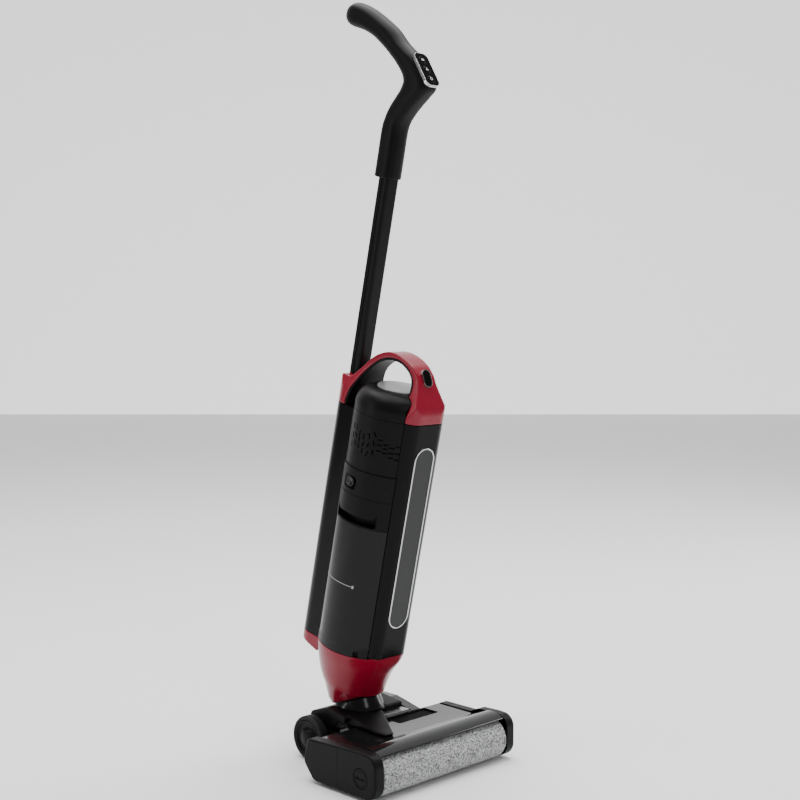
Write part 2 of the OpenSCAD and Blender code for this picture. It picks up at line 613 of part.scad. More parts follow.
module filter_housing() color("#1d1e21") body() difference() {
  union() {
    difference() {
      plan(tank_hi + 0.02, filter_hi) tank_section(tank_r - 0.3);
      plan(tank_hi + 2.5, filter_hi - 2.5) tank_section(tank_r - 3);
    }
    intersection() {
      pocket(2.4, tank_hi + 0.02, pocket_hi + 2.4);
      plan(tank_hi, filter_hi) tank_section(tank_r - 0.3);
    }
  }
  // finger pocket behind the pulling lip
  pocket(0, tank_hi + 2.4, lip_lo);
  intersection() {
    pocket(0, tank_hi + 2.4, pocket_hi);
    plan(300, 400) circle(tank_r - 3.3);
  }
  translate([0, 6, tank_hi - 2]) cylinder(r = 22, h = 8);
  translate([0, 6, filter_hi - 5]) cylinder(r = 20, h = 8);
  // guide of the latch button
  translate([-80, 12, 388]) rotate([0, 90, 0]) cylinder(r = 8.2, h = 40, $fn = 48);
}
module tank_filter() color("#d9d9d4") body() translate([0, 6, tank_hi + 2.6]) difference() {
  cylinder(r = 27, h = 70);
  translate([0, 0, -1]) cylinder(r = 20, h = 72);
}
module tank_float() color("#e08a1e") body() translate([0, 6, foot_hi + 2.5]) difference() {
  cylinder(r = 24, h = 26);
  translate([0, 0, -2]) cylinder(r = riser_r + 0.5, h = 40);
  translate([0, 0, -2]) difference() { cylinder(r = 22.4, h = 26); cylinder(r = riser_r + 2.1, h = 40); }
}
module latch_button() color("#2b2c2f") body() translate([-61.5, 12, 388]) rotate([0, 90, 0]) cylinder(r = 8, h = 12, $fn = 48);

// ---- pole and handle ----
module pole() color("#1a1b1d") body() difference() {
  plan(440, pole_top) difference() {
    polygon(box_pts(-12, pole_y - 10, 12, pole_y + 10, 5, 4));
    polygon(box_pts(-10.4, pole_y - 8.4, 10.4, pole_y + 8.4, 3.8, 4));
  }
  // shallow groove down each side
  for (s = [-1, 1]) translate([s * 12.3 - 0.8, pole_y - 2, 600]) cube([1.6, 4, 300]);
}
handle_pts = [[109, 805], [109, 878], [101, 904], [91, 918], [83, 929], [82, 938], [88, 947], [104, 963],
  [130, 980], [157, 993], [184, 1000.5], [200, 1001.5], [212, 1004.5], [219, 1012], [220.5, 1021], [216, 1031],
  [205, 1037], [192, 1036], [169, 1030], [145, 1020.5], [121, 1009], [101, 995], [86, 984], [72, 979],
  [62, 973], [48, 958], [34, 943], [32, 936], [38, 928], [54, 911], [70, 892], [76, 878], [76, 805]];
module handle_half(s) body() scale_x(s) difference() {
  side(0.05, grip_w / 2) polygon(handle_pts);
  side(-1, grip_w / 2 - wall) polygon(inset(handle_pts, wall));
  plan(800, 812) polygon(box_pts(-12.15, pole_y - 10.15, 12.15, pole_y + 10.15, 5.1, 4));
  panel_frame() {
    translate([-14, -29, -1.6]) cube([28, 58, 10]);
    for (y = [-16, 0, 16]) translate([0, y, -12]) cylinder(r = 6.2, h = 12, $fn = 48);
  }
}
module handle_left() color("#17181a") handle_half(-1);
module handle_right() color("#17181a") handle_half(1);
// local frame of the control panel: +Z out of the face, +Y up the slope
module panel_frame() translate([0, 49.4, 959.4]) rotate([46, 0, 0]) children();
module panel_face() color("#050506") body() panel_frame() difference() {
  translate([0, 0, -1.5]) linear_extrude(2.6) polygon(box_pts(-12.5, -27, 12.5, 27, 8, 6));
  for (y = [-16, 0, 16]) translate([0, y, -2]) cylinder(r = 5.7, h = 5, $fn = 48);
}
module panel_button(y) body() panel_frame() translate([0, y, -2.4]) cylinder(r = 5.4, h = 4, $fn = 48);
module button_mode() color("#e6e7e8") panel_button(16);
module button_clean() color("#e6e7e8") panel_button(0);
module button_power() color("#e6e7e8") panel_button(-16);

head_base();
head_cover();
cover_window();
hood_button();
side_cap_right();
side_cap_left();
wheel_guard();
scraper_blade();
spray_bar();
suction_duct();
brush_motor();
motor_pulley();
drive_pulley();
drive_belt();
wheel_axle();
head_screws();
roller_sleeve();
roller_core();
roller_end_cover();
release_disc();
wheel_hub_left();
wheel_hub_right();
tyre_left();
tyre_right();
neck_yoke();
swivel_collar();
neck_hose();
base_funnel();
swivel_ring();
spine_shell();
front_column();
level_loop();
level_insert();
clean_tank();
carry_arch();
arch_liner();
arch_button();
motor_housing();
top_disc();
suction_motor();
impeller();
battery_pack();
circuit_board();
water_pump();
charge_socket();
foot_cap();
park_tab();
dirty_tank();
tank_foot();
filter_housing();
tank_filter();
tank_float();
latch_button();
pole();
handle_left();
handle_right();
panel_face();
button_mode();
button_clean();
button_power();
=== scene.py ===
import json
import math
import random

import bmesh
import bpy
from mathutils import Matrix, Vector, noise
from mathutils.geometry import interpolate_bezier


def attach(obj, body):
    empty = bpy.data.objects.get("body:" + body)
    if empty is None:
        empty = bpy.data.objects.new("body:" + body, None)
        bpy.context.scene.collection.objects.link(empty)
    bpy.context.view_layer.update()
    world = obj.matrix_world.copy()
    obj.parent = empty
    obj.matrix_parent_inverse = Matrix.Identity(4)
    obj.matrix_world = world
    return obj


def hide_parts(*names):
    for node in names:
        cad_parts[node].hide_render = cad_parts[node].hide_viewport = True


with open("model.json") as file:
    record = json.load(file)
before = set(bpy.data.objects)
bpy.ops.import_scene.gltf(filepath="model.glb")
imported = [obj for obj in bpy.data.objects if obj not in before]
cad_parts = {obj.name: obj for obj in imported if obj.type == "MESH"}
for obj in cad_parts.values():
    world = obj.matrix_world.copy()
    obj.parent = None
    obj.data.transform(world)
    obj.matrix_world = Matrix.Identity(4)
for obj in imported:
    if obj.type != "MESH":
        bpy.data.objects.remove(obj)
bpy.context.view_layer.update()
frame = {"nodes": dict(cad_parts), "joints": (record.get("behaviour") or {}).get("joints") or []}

# The set: a pale floor that runs into a pale surround, four soft lamps and a long lens
# held at chest height, to the left of the machine's front.
scene = bpy.context.scene


def linked(name, data):
    """A new object in the scene."""
    made = bpy.data.objects.new(name, data)
    scene.collection.objects.link(made)
    return made


lens = bpy.data.cameras.new("long_lens")
lens.lens = 63
lens.sensor_width = 36
lens.clip_end = 60
camera = linked("camera", lens)
camera.location = (-1.3813, -1.4460, 0.6705)
camera.rotation_euler = (math.radians(85.8), 0, math.radians(-44.6))
scene.camera = camera

floor_mesh = bpy.data.meshes.new("floor")
floor_shape = bmesh.new()
bmesh.ops.create_grid(floor_shape, x_segments=1, y_segments=1, size=14)
floor_shape.to_mesh(floor_mesh)
floor_shape.free()
floor = linked("floor", floor_mesh)
floor_paint = bpy.data.materials.new("floor_paint")
floor_paint.use_nodes = True
floor_paint.node_tree.nodes["Principled BSDF"].inputs["Base Color"].default_value = (0.9, 0.9, 0.9, 1)
floor_paint.node_tree.nodes["Principled BSDF"].inputs["Roughness"].default_value = 0.9
floor_mesh.materials.append(floor_paint)

wall_mesh = bpy.data.meshes.new("light_wall")
wall_shape = bmesh.new()
bmesh.ops.create_grid(wall_shape, x_segments=1, y_segments=1, size=9)
bmesh.ops.rotate(wall_shape, cent=(0, 0, 0), matrix=Matrix.Rotation(math.pi / 2, 3, "X"),
                 verts=wall_shape.verts)
bmesh.ops.rotate(wall_shape, cent=(0, 0, 0), matrix=Matrix.Rotation(camera.rotation_euler.z, 3, "Z"),
                 verts=wall_shape.verts)
bmesh.ops.translate(wall_shape, vec=(4.2, 4.3, 8.5), verts=wall_shape.verts)
wall_shape.to_mesh(wall_mesh)
wall_shape.free()
light_wall = linked("light_wall", wall_mesh)
wall_paint = bpy.data.materials.new("wall_paint")
wall_paint.use_nodes = True
wall_paint.node_tree.nodes["Principled BSDF"].inputs["Base Color"].default_value = (0.9, 0.9, 0.9, 1)
wall_paint.node_tree.nodes["Principled BSDF"].inputs["Emission Color"].default_value = (1, 1, 1, 1)
wall_paint.node_tree.nodes["Principled BSDF"].inputs["Emission Strength"].default_value = 1.0
wall_mesh.materials.append(wall_paint)

surround = bpy.data.worlds.new("surround")
surround.use_nodes = True
surround.node_tree.nodes["Background"].inputs["Color"].default_value = (1, 1, 1, 1)
surround.node_tree.nodes["Background"].inputs["Strength"].default_value = 0.22
scene.world = surround


def lamp(name, place, aim, width, height, watts):
    """A soft box of the given size that faces its aim."""
    light = bpy.data.lights.new(name, "AREA")
    light.shape = "RECTANGLE"
    light.size, light.size_y = width, height
    light.energy = watts
    made = linked(name, light)
    made.location = place
    made.rotation_euler = (Vector(aim) - Vector(place)).to_track_quat("-Z", "Y").to_euler()


middle = (0, 0, 0.45)
lamp("left_box", (-2.4, 1.5, 1.2), middle, 0.35, 2.0, 16)
lamp("front_box", (-0.9, -2.9, 1.9), middle, 0.5, 1.0, 14)
lamp("top_box", (0.2, 0.2, 3.3), middle, 3.2, 3.2, 190)
lamp("right_box", (2.5, -0.6, 1.2), middle, 0.5, 2.2, 26)

# The lower tray of the head: a satin black injection moulding that carries the motor, the duct,
# the screws and the ears of the wheel axle. Its place and the other frames come from the joints.
joint_at = {j["name"]: j for j in frame["joints"]}
MM = Matrix.Scale(0.001, 4)
axle = Vector(joint_at["neck_pitch"]["pos_m"])
roller_axis = Vector(joint_at["roller_spin"]["pos_m"])
up_axis = Vector(joint_at["impeller_spin"]["axis"])
swivel_axis = Vector(joint_at["neck_swivel"]["axis"])
HEAD = Matrix.Translation((0, roller_axis.y, 0)) @ MM
BODY = Matrix.Translation(axle) @ Matrix.Rotation(math.atan2(-up_axis.y, up_axis.z), 4, "X") @ MM
NECK = (Matrix.Translation(joint_at["neck_swivel"]["pos_m"])
        @ Matrix.Rotation(math.atan2(-swivel_axis.y, swivel_axis.z), 4, "X") @ MM)
WORLD = Matrix.Identity(4)


def finish(name, colour, rough, drift=0.1, grain=0.00001, grain_scale=1500, coat=0.0, metal=0.0,
           ior=1.46, clear=0.0, gleam=0.5):
    """A finish whose colour and shine drift a little over the piece, with a fine grain."""
    made = bpy.data.materials.new(name)
    made.use_nodes = True
    nodes, links = made.node_tree.nodes, made.node_tree.links
    shader = nodes["Principled BSDF"]
    shader.inputs["Metallic"].default_value = metal
    shader.inputs["IOR"].default_value = ior
    shader.inputs["Specular IOR Level"].default_value = gleam
    shader.inputs["Coat Weight"].default_value = coat
    shader.inputs["Coat Roughness"].default_value = 0.06
    shader.inputs["Transmission Weight"].default_value = clear
    where = nodes.new("ShaderNodeTexCoord")
    cloud = nodes.new("ShaderNodeTexNoise")
    cloud.inputs["Scale"].default_value = 28
    cloud.inputs["Detail"].default_value = 4
    links.new(where.outputs["Object"], cloud.inputs["Vector"])
    tint = nodes.new("ShaderNodeMix")
    tint.data_type = "RGBA"
    tint.inputs[6].default_value = (*[c * (1 - drift) for c in colour], 1)
    tint.inputs[7].default_value = (*[c * (1 + drift) for c in colour], 1)
    links.new(cloud.outputs["Fac"], tint.inputs["Factor"])
    links.new(tint.outputs[2], shader.inputs["Base Color"])
    shine = nodes.new("ShaderNodeMapRange")
    shine.inputs["From Min"].default_value = 0.3
    shine.inputs["From Max"].default_value = 0.7
    shine.inputs["To Min"].default_value = rough * 0.94
    shine.inputs["To Max"].default_value = rough * 1.06
    links.new(cloud.outputs["Fac"], shine.inputs["Value"])
    links.new(shine.outputs["Result"], shader.inputs["Roughness"])
    fine = nodes.new("ShaderNodeTexNoise")
    fine.inputs["Scale"].default_value = grain_scale
    fine.inputs["Detail"].default_value = 2
    links.new(where.outputs["Object"], fine.inputs["Vector"])
    bump = nodes.new("ShaderNodeBump")
    bump.inputs["Distance"].default_value = grain
    links.new(fine.outputs["Fac"], bump.inputs["Height"])
    links.new(bump.outputs["Normal"], shader.inputs["Normal"])
    return made


def dress(node, material):
    """Gives a carried-over CAD piece its finish."""
    mesh = frame["nodes"][node].data
    mesh.materials.clear()
    mesh.materials.append(material)


satin_black = finish("satin_black", (0.0038, 0.0038, 0.0041), 0.42, grain=0.000014, gleam=0.12)
steel = finish("steel", (0.55, 0.56, 0.58), 0.28, metal=1.0, grain_scale=900)
dress("head_base", satin_black)
dress("head_screws", steel)

# The suction duct and the spray bar under the hood: the duct is dark red gloss plastic and
# shows faintly through the hood, the bar is natural white tube.
duct_red = finish("duct_red", (0.16, 0.006, 0.012), 0.3)
natural_plastic = finish("natural_plastic", (0.6, 0.6, 0.58), 0.4)
dress("suction_duct", duct_red)
dress("spray_bar", natural_plastic)

# The roller drive: a zinc-plated motor, a turned aluminium pulley, a large acetal pulley and a
# black toothed belt behind the right cap.
zinc = finish("zinc_plate", (0.35, 0.36, 0.37), 0.34, metal=1.0)
turned_aluminium = finish("turned_aluminium", (0.6, 0.6, 0.62), 0.3, metal=1.0)
acetal = finish("acetal", (0.62, 0.6, 0.54), 0.42)
black_rubber = finish("black_rubber", (0.008, 0.008, 0.0085), 0.62, grain=0.00003, grain_scale=2200,
                      gleam=0.12)
dress("brush_motor", zinc)
dress("motor_pulley", turned_aluminium)
dress("drive_pulley", acetal)
dress("drive_belt", black_rubber)
dress("scraper_blade", black_rubber)
dress("wheel_axle", steel)

# The hood over the roller: a smoky glossy moulding of even wall, drawn over the roller in an arc
# and flat behind it, with a window and an opening for the release button.
SIDE = Matrix(((0, 0, 1, 0), (1, 0, 0, 0), (0, 1, 0, 0), (0, 0, 0, 1)))
FRONT = Matrix.Rotation(math.pi / 2, 4, "X")


def corner_offset(before, at, after, radius):
    """How far back from a corner a round of that radius starts."""
    one, two = (Vector(before) - Vector(at)).normalized(), (Vector(after) - Vector(at)).normalized()
    return radius / math.tan(max(one.angle(two), 0.05) / 2)


def prism(corners, low, high, turn=WORLD):
    """An outline of (a, b, radius) corners, extruded, with each upright edge rounded."""
    shape = bmesh.new()
    face = shape.faces.new([shape.verts.new((a, b, low)) for a, b, r in corners])
    pulled = bmesh.ops.extrude_face_region(shape, geom=[face])["geom"]
    bmesh.ops.translate(shape, vec=(0, 0, high - low),
                        verts=[v for v in pulled if isinstance(v, bmesh.types.BMVert)])
    for i, (a, b, radius) in enumerate(corners):
        if not radius:
            continue
        upright = [e for e in shape.edges
                   if all(abs(v.co.x - a) + abs(v.co.y - b) < 1e-3 for v in e.verts)]
        start = corner_offset(corners[i - 1][:2], (a, b), corners[(i + 1) % len(corners)][:2], radius)
        bmesh.ops.bevel(shape, geom=upright, affect="EDGES", offset=start, offset_type="OFFSET",
                        segments=max(4, round(radius ** 0.5 * 3)), profile=0.5, material=-1,
                        clamp_overlap=False)
    bmesh.ops.recalc_face_normals(shape, faces=shape.faces)
    bmesh.ops.transform(shape, matrix=turn, verts=shape.verts)
    return shape


def slab(left, right, near, far, radius, low, high, turn=WORLD):
    """A rectangle with four equal rounds, extruded."""
    return prism([(left, near, radius), (right, near, radius), (right, far, radius), (left, far, radius)],
                 low, high, turn)


def combined(shape, tool, how="DIFFERENCE"):
    """The shape with the tool's shape cut out of it, or welded to it."""
    carriers = []
    for part in (shape, tool):
        mesh = bpy.data.meshes.new("carrier")
        part.to_mesh(mesh)
        part.free()
        carriers.append(linked("carrier", mesh))
    step = carriers[0].modifiers.new("combine", "BOOLEAN")
    step.operation = how
    step.solver = "EXACT"
    step.object = carriers[1]
    result = bmesh.new()
    result.from_object(carriers[0], bpy.context.evaluated_depsgraph_get())
    for carrier in carriers:
        bpy.data.meshes.remove(carrier.data)
    return result


def joined(*shapes):
    """Several separate solids as one mesh."""
    whole = bmesh.new()
    for part in shapes:
        mesh = bpy.data.meshes.new("carrier")
        part.to_mesh(mesh)
        part.free()
        whole.from_mesh(mesh)
        bpy.data.meshes.remove(mesh)
    return whole


def piece(shape, name, place, material, body, stands_for, edge=0.0, steps=2, smooth=42):
    """The finished piece: its sharp edges broken, in its place and on its body."""
    if edge:
        sharp = [e for e in shape.edges if e.is_manifold and e.calc_face_angle(0) > math.radians(34)]
        bmesh.ops.bevel(shape, geom=sharp, affect="EDGES", offset=edge, offset_type="OFFSET",
                        segments=steps, profile=0.5, material=-1, clamp_overlap=True)
    bmesh.ops.transform(shape, matrix=place, verts=shape.verts)
    mesh = bpy.data.meshes.new(name)
    shape.to_mesh(mesh)
    shape.free()
    mesh.shade_smooth()
    mesh.set_sharp_from_angle(angle=math.radians(smooth))
    mesh.materials.append(material)
    made = linked(name, mesh)
    if edge:
        even = made.modifiers.new("even_shading", "WEIGHTED_NORMAL")
        even.keep_sharp = True
    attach(made, body)
    if stands_for:
        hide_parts(*stands_for)
    return made


smoky_gloss = finish("smoky_gloss", (0.009, 0.0091, 0.0095), 0.1, grain=0.000001, clear=0.35, gleam=0.32)
HEAD_HALF = 123.7
HOOD_WALL = 2.5
HOOD_TOP = 57
HOOD_REAR = 108
HOOD_EDGE = 126
ROLLER_HEIGHT = roller_axis.z * 1000


def hood_arc(radius, start, stop, count=24):
    """Points of the hood's arc over the roller, from one angle to the other."""
    turns = [math.radians(start + (stop - start) * i / count) for i in range(count + 1)]
    return [(radius * math.cos(t), ROLLER_HEIGHT + radius * math.sin(t), 0) for t in turns]


hood_line = (hood_arc(37, HOOD_EDGE, 62)
             + [(24.5, 61.6, 0), (31, 59, 0), (38, HOOD_TOP, 0), (HOOD_REAR, HOOD_TOP, 0),
                (HOOD_REAR, HOOD_TOP - HOOD_WALL, 0), (37, HOOD_TOP - HOOD_WALL, 0), (30, 56.3, 0)]
             + hood_arc(34.5, 60, HOOD_EDGE))
BUTTON_LEFT, BUTTON_RIGHT = 15, 62
ledge = prism([(-7, 104, 0), (66, 104, 0), (66, 129, 5), (-7, 129, 5)], HOOD_TOP - HOOD_WALL,
              HOOD_TOP - 0.02)
hood = combined(prism(hood_line, -HEAD_HALF, HEAD_HALF, SIDE), ledge, "UNION")
hood = combined(hood, slab(9.2, 89.8, 76.2, 106.8, 3, 40, 70))
hood = combined(hood, slab(BUTTON_LEFT - 0.4, BUTTON_RIGHT + 0.4, 109, 126.4, 3, 40, 70))
piece(hood, "hood", HEAD, smoky_gloss, "head", ["head_cover"], edge=0.5)

# The window in the hood: a dark gloss tray, clipped in from below, through which the user sees
# that dirt is being taken up.
deep_gloss = finish("deep_gloss", (0.0025, 0.0025, 0.0027), 0.1, grain=0.000001, gleam=0.15)
window = slab(9.5, 89.5, 76.5, 106.5, 2.8, 54, 56.4)
top = max(window.faces, key=lambda f: f.calc_center_median().z)
bmesh.ops.inset_region(window, faces=[top], thickness=1.3)
bmesh.ops.inset_region(window, faces=[top], thickness=0.5, depth=-1.7)
window_dark = finish("window_dark", (0.001, 0.001, 0.0011), 0.6, grain=0.000001, gleam=0.03)
piece(window, "hood_window", HEAD, window_dark, "head", ["cover_window"], edge=0.15)

# The release button of the hood: a silver-grey key with a dished top, pushed down to lift the
# hood off; its spring sits in the notch of the tray.
silver_grey = finish("silver_grey", (0.36, 0.365, 0.37), 0.33, metal=0.35, grain=0.000006)
key = slab(BUTTON_LEFT, BUTTON_RIGHT, 109.4, 126, 3, 50, 60.5)
top = max(key.faces, key=lambda f: f.calc_center_median().z)
bmesh.ops.inset_region(key, faces=[top], thickness=2.2)
bmesh.ops.inset_region(key, faces=[top], thickness=2.0, depth=-1.1)
piece(key, "hood_release_key", HEAD, silver_grey, "hood_button", ["hood_button"],
      edge=0.6, steps=3)

# The end caps of the head: hollow satin black shells with a soft rim, clipped to the tray. The left
# one is split, and its front half pulls out with the roller. The right one is level with the hood.
CAP_INNER, CAP_OUTER = 124, 140
CAP_OUTLINE = [(96, 4, 12), (117, 28, 12), (108, 61.5, 7), (36, 65, 20), (0, 66.5, 20), (-29, 65, 18),
               (-29, 4, 20)]
RIGHT_OUTLINE = [(96, 4, 12), (117, 28, 12), (108, 58.2, 5), (44, 58.4, 6), (28, 65.4, 10), (0, 66.5, 20),
                 (-29, 65, 18), (-29, 4, 20)]
CAP_SEAM = 46


def end_cap(keep=None, hand=1, outline=CAP_OUTLINE):
    """A cap shell on the +X end, or the part of it in front of or behind the seam."""
    shape = prism(outline, CAP_INNER, CAP_OUTER, SIDE)
    if keep:
        bmesh.ops.bisect_plane(shape, geom=shape.verts[:] + shape.edges[:] + shape.faces[:],
                               plane_co=(0, CAP_SEAM + (0.2 if keep == "rear" else -0.2), 0),
                               plane_no=(0, 1, 0), clear_outer=keep == "front",
                               clear_inner=keep == "rear")
        bmesh.ops.holes_fill(shape, edges=[e for e in shape.edges if e.is_boundary])
        bmesh.ops.recalc_face_normals(shape, faces=shape.faces)
    inner = min(shape.faces, key=lambda f: f.calc_center_median().x + 100 * f.normal.x)
    bmesh.ops.inset_region(shape, faces=[inner], thickness=2.2)
    bmesh.ops.inset_region(shape, faces=[inner], thickness=0.01, depth=-13.2)
    rim = [e for e in shape.edges if all(v.co.x > CAP_OUTER - 0.01 for v in e.verts)
           and not all(abs(v.co.y - CAP_SEAM) < 0.5 for v in e.verts)]
    bmesh.ops.bevel(shape, geom=rim, affect="EDGES", offset=3.2, offset_type="OFFSET", segments=5,
                    profile=0.5, material=-1, clamp_overlap=True)
    if hand < 0:
        bmesh.ops.scale(shape, vec=(-1, 1, 1), verts=shape.verts)
        bmesh.ops.reverse_faces(shape, faces=shape.faces)
    return shape


piece(end_cap(outline=RIGHT_OUTLINE), "right_cap", HEAD, satin_black, "head", ["side_cap_right"],
      edge=0.25)
piece(end_cap("rear", -1), "left_cap_rear", HEAD, satin_black, "head", ["side_cap_left"],
      edge=0.25)


def turned(profile, steps=96, closed=True):
    """A (radius, height) profile spun once round the Z axis."""
    shape = bmesh.new()
    verts = [shape.verts.new((r, 0, z)) for r, z in profile]
    pairs = list(zip(verts, verts[1:])) + ([(verts[-1], verts[0])] if closed else [])
    edges = [shape.edges.new(pair) for pair in pairs]
    bmesh.ops.spin(shape, geom=verts + edges, cent=(0, 0, 0), axis=(0, 0, 1), dvec=(0, 0, 0),
                   angle=2 * math.pi, steps=steps, use_merge=True, use_duplicate=False)
    bmesh.ops.remove_doubles(shape, verts=shape.verts, dist=0.001)
    bmesh.ops.recalc_face_normals(shape, faces=shape.faces)
    return shape


def moved(shape, matrix):
    """The shape after the transform."""
    bmesh.ops.transform(shape, matrix=matrix, verts=shape.verts)
    return shape


ALONG_X = Matrix.Rotation(math.pi / 2, 4, "Y")
ROLLER_LINE = Matrix.Translation((0, 0, ROLLER_HEIGHT)) @ ALONG_X
DISC_R = 14
front_cap = end_cap("front", -1)
journal = moved(turned([(0, -137), (17, -137), (17, -131), (8, -130), (8, -109), (7, -108), (0, -108)]),
                ROLLER_LINE)
front_cap = combined(front_cap, journal, "UNION")
front_cap = combined(front_cap, moved(turned([(0, -150), (DISC_R + 0.35, -150), (DISC_R + 0.35, -134.4),
                                              (0, -134.4)]), ROLLER_LINE))
piece(front_cap, "left_cap_front", HEAD, satin_black, "roller_cassette", ["roller_end_cover"],
      edge=0.25)

# The release disc in the left cap: a turned satin knob with a coin slot and a ring groove, given
# a quarter turn to free the roller.
disc = moved(turned([(0, -136.6), (13.2, -136.6), (DISC_R, -137.4), (DISC_R, -139.2), (13.3, -139.9),
                     (11.6, -139.9), (11.2, -139.3), (10.6, -139.3), (10.2, -139.9), (0, -139.9)]),
             ROLLER_LINE)
slot_cut = slab(-8.5, 8.5, ROLLER_HEIGHT - 2, ROLLER_HEIGHT + 2, 1.9, -150, -138.6, SIDE)
piece(combined(disc, slot_cut), "release_knob", HEAD, satin_black, "release_disc", ["release_disc"],
      edge=0.15)

# The roller sleeve: grey microfibre pile on a backing, with tufts of uneven length that mat
# together in places. It is sewn as a tube and drawn over the core.
PILE_R = 30.2
ROLLER_HALF = 121.6
TUFTS = 9000


def pile_finish():
    """Grey microfibre: light grey fibre with painted shade for the dark gaps between tufts, a fine bump and
    a soft sheen.
    """
    made = bpy.data.materials.new("microfibre")
    made.use_nodes = True
    nodes, links = made.node_tree.nodes, made.node_tree.links
    shader = nodes["Principled BSDF"]
    shader.inputs["Roughness"].default_value = 0.92
    shader.inputs["Sheen Weight"].default_value = 0.25
    shader.inputs["Sheen Roughness"].default_value = 0.5
    shader.inputs["Specular IOR Level"].default_value = 0.15
    where = nodes.new("ShaderNodeTexCoord")
    shade_and_bump_noise = nodes.new("ShaderNodeTexNoise")
    shade_and_bump_noise.inputs["Scale"].default_value = 420
    shade_and_bump_noise.inputs["Detail"].default_value = 5
    shade_and_bump_noise.inputs["Roughness"].default_value = 0.7
    links.new(where.outputs["Object"], shade_and_bump_noise.inputs["Vector"])
    # Painted shade: the ramp turns the noise's low values near black to stand in for the shade in the gaps
    # between tufts; its light end is the fibre's own grey.
    painted_gap_shade = nodes.new("ShaderNodeValToRGB")
    painted_gap_shade.color_ramp.elements[0].position = 0.40
    painted_gap_shade.color_ramp.elements[0].color = (0.07, 0.071, 0.073, 1)
    painted_gap_shade.color_ramp.elements[1].position = 0.60
    painted_gap_shade.color_ramp.elements[1].color = (0.58, 0.585, 0.59, 1)
    links.new(shade_and_bump_noise.outputs["Fac"], painted_gap_shade.inputs["Fac"])
    links.new(painted_gap_shade.outputs["Color"], shader.inputs["Base Color"])
    bump = nodes.new("ShaderNodeBump")
    bump.inputs["Distance"].default_value = 0.0006
    links.new(shade_and_bump_noise.outputs["Fac"], bump.inputs["Height"])
    links.new(bump.outputs["Normal"], shader.inputs["Normal"])
    return made


microfibre = pile_finish()
random.seed(7)
sleeve = bmesh.new()
ring = bmesh.ops.create_circle(sleeve, segments=132, radius=PILE_R)["verts"]
bmesh.ops.translate(sleeve, vec=(0, 0, -ROLLER_HALF), verts=ring)
ring_edges = [e for e in sleeve.edges]
RINGS = 140
for k in range(RINGS):
    pulled = bmesh.ops.extrude_edge_only(sleeve, edges=ring_edges)["geom"]
    ring_edges = [g for g in pulled if isinstance(g, bmesh.types.BMEdge)]
    bmesh.ops.translate(sleeve, vec=(0, 0, 2 * ROLLER_HALF / RINGS),
                        verts=[v for v in pulled if isinstance(v, bmesh.types.BMVert)])
for v in sleeve.verts:
    out = Vector((v.co.x, v.co.y, 0)).normalized()
    matted = noise.fractal(v.co / 9, 0.8, 2, 3) * 0.5 + noise.noise(v.co / 2.2) * 0.55
    end = max(0, (abs(v.co.z) - ROLLER_HALF + 3) / 3)
    v.co += out * (matted - 1.6 * end ** 2)
for z in (-ROLLER_HALF, ROLLER_HALF):
    rim = [e for e in sleeve.edges if e.is_boundary and abs(e.verts[0].co.z - z) < 0.5]
    inner = bmesh.ops.extrude_edge_only(sleeve, edges=rim)["geom"]
    for v in [g for g in inner if isinstance(g, bmesh.types.BMVert)]:
        v.co.x, v.co.y = Vector((v.co.x, v.co.y)).normalized() * 22.4
bmesh.ops.recalc_face_normals(sleeve, faces=sleeve.faces)
for k in range(TUFTS):
    turn, along = random.uniform(0, 2 * math.pi), random.uniform(-ROLLER_HALF + 1, ROLLER_HALF - 1)
    out = Vector((math.cos(turn), math.sin(turn), 0))
    across = Vector((-out.y, out.x, 0))
    foot = out * (PILE_R - 0.7) + Vector((0, 0, along))
    lie = (across * random.uniform(-1, 1) + Vector((0, 0, random.uniform(-1, 1)))) * 0.9
    tip = foot + out * random.uniform(1.1, 1.75) + lie
    wide = across.cross(out).lerp(across, random.random()).normalized() * random.uniform(0.22, 0.4)
    base = [sleeve.verts.new(foot + side) for side in (wide, -wide, lie.normalized() * 0.3)]
    point = sleeve.verts.new(tip)
    for a, b in ((0, 1), (1, 2), (2, 0)):
        sleeve.faces.new((base[a], base[b], point))
moved(sleeve, ROLLER_LINE)
piece(sleeve, "roller_pile", HEAD, microfibre, "roller", ["roller_sleeve"], smooth=80)
dress("roller_core", satin_black)

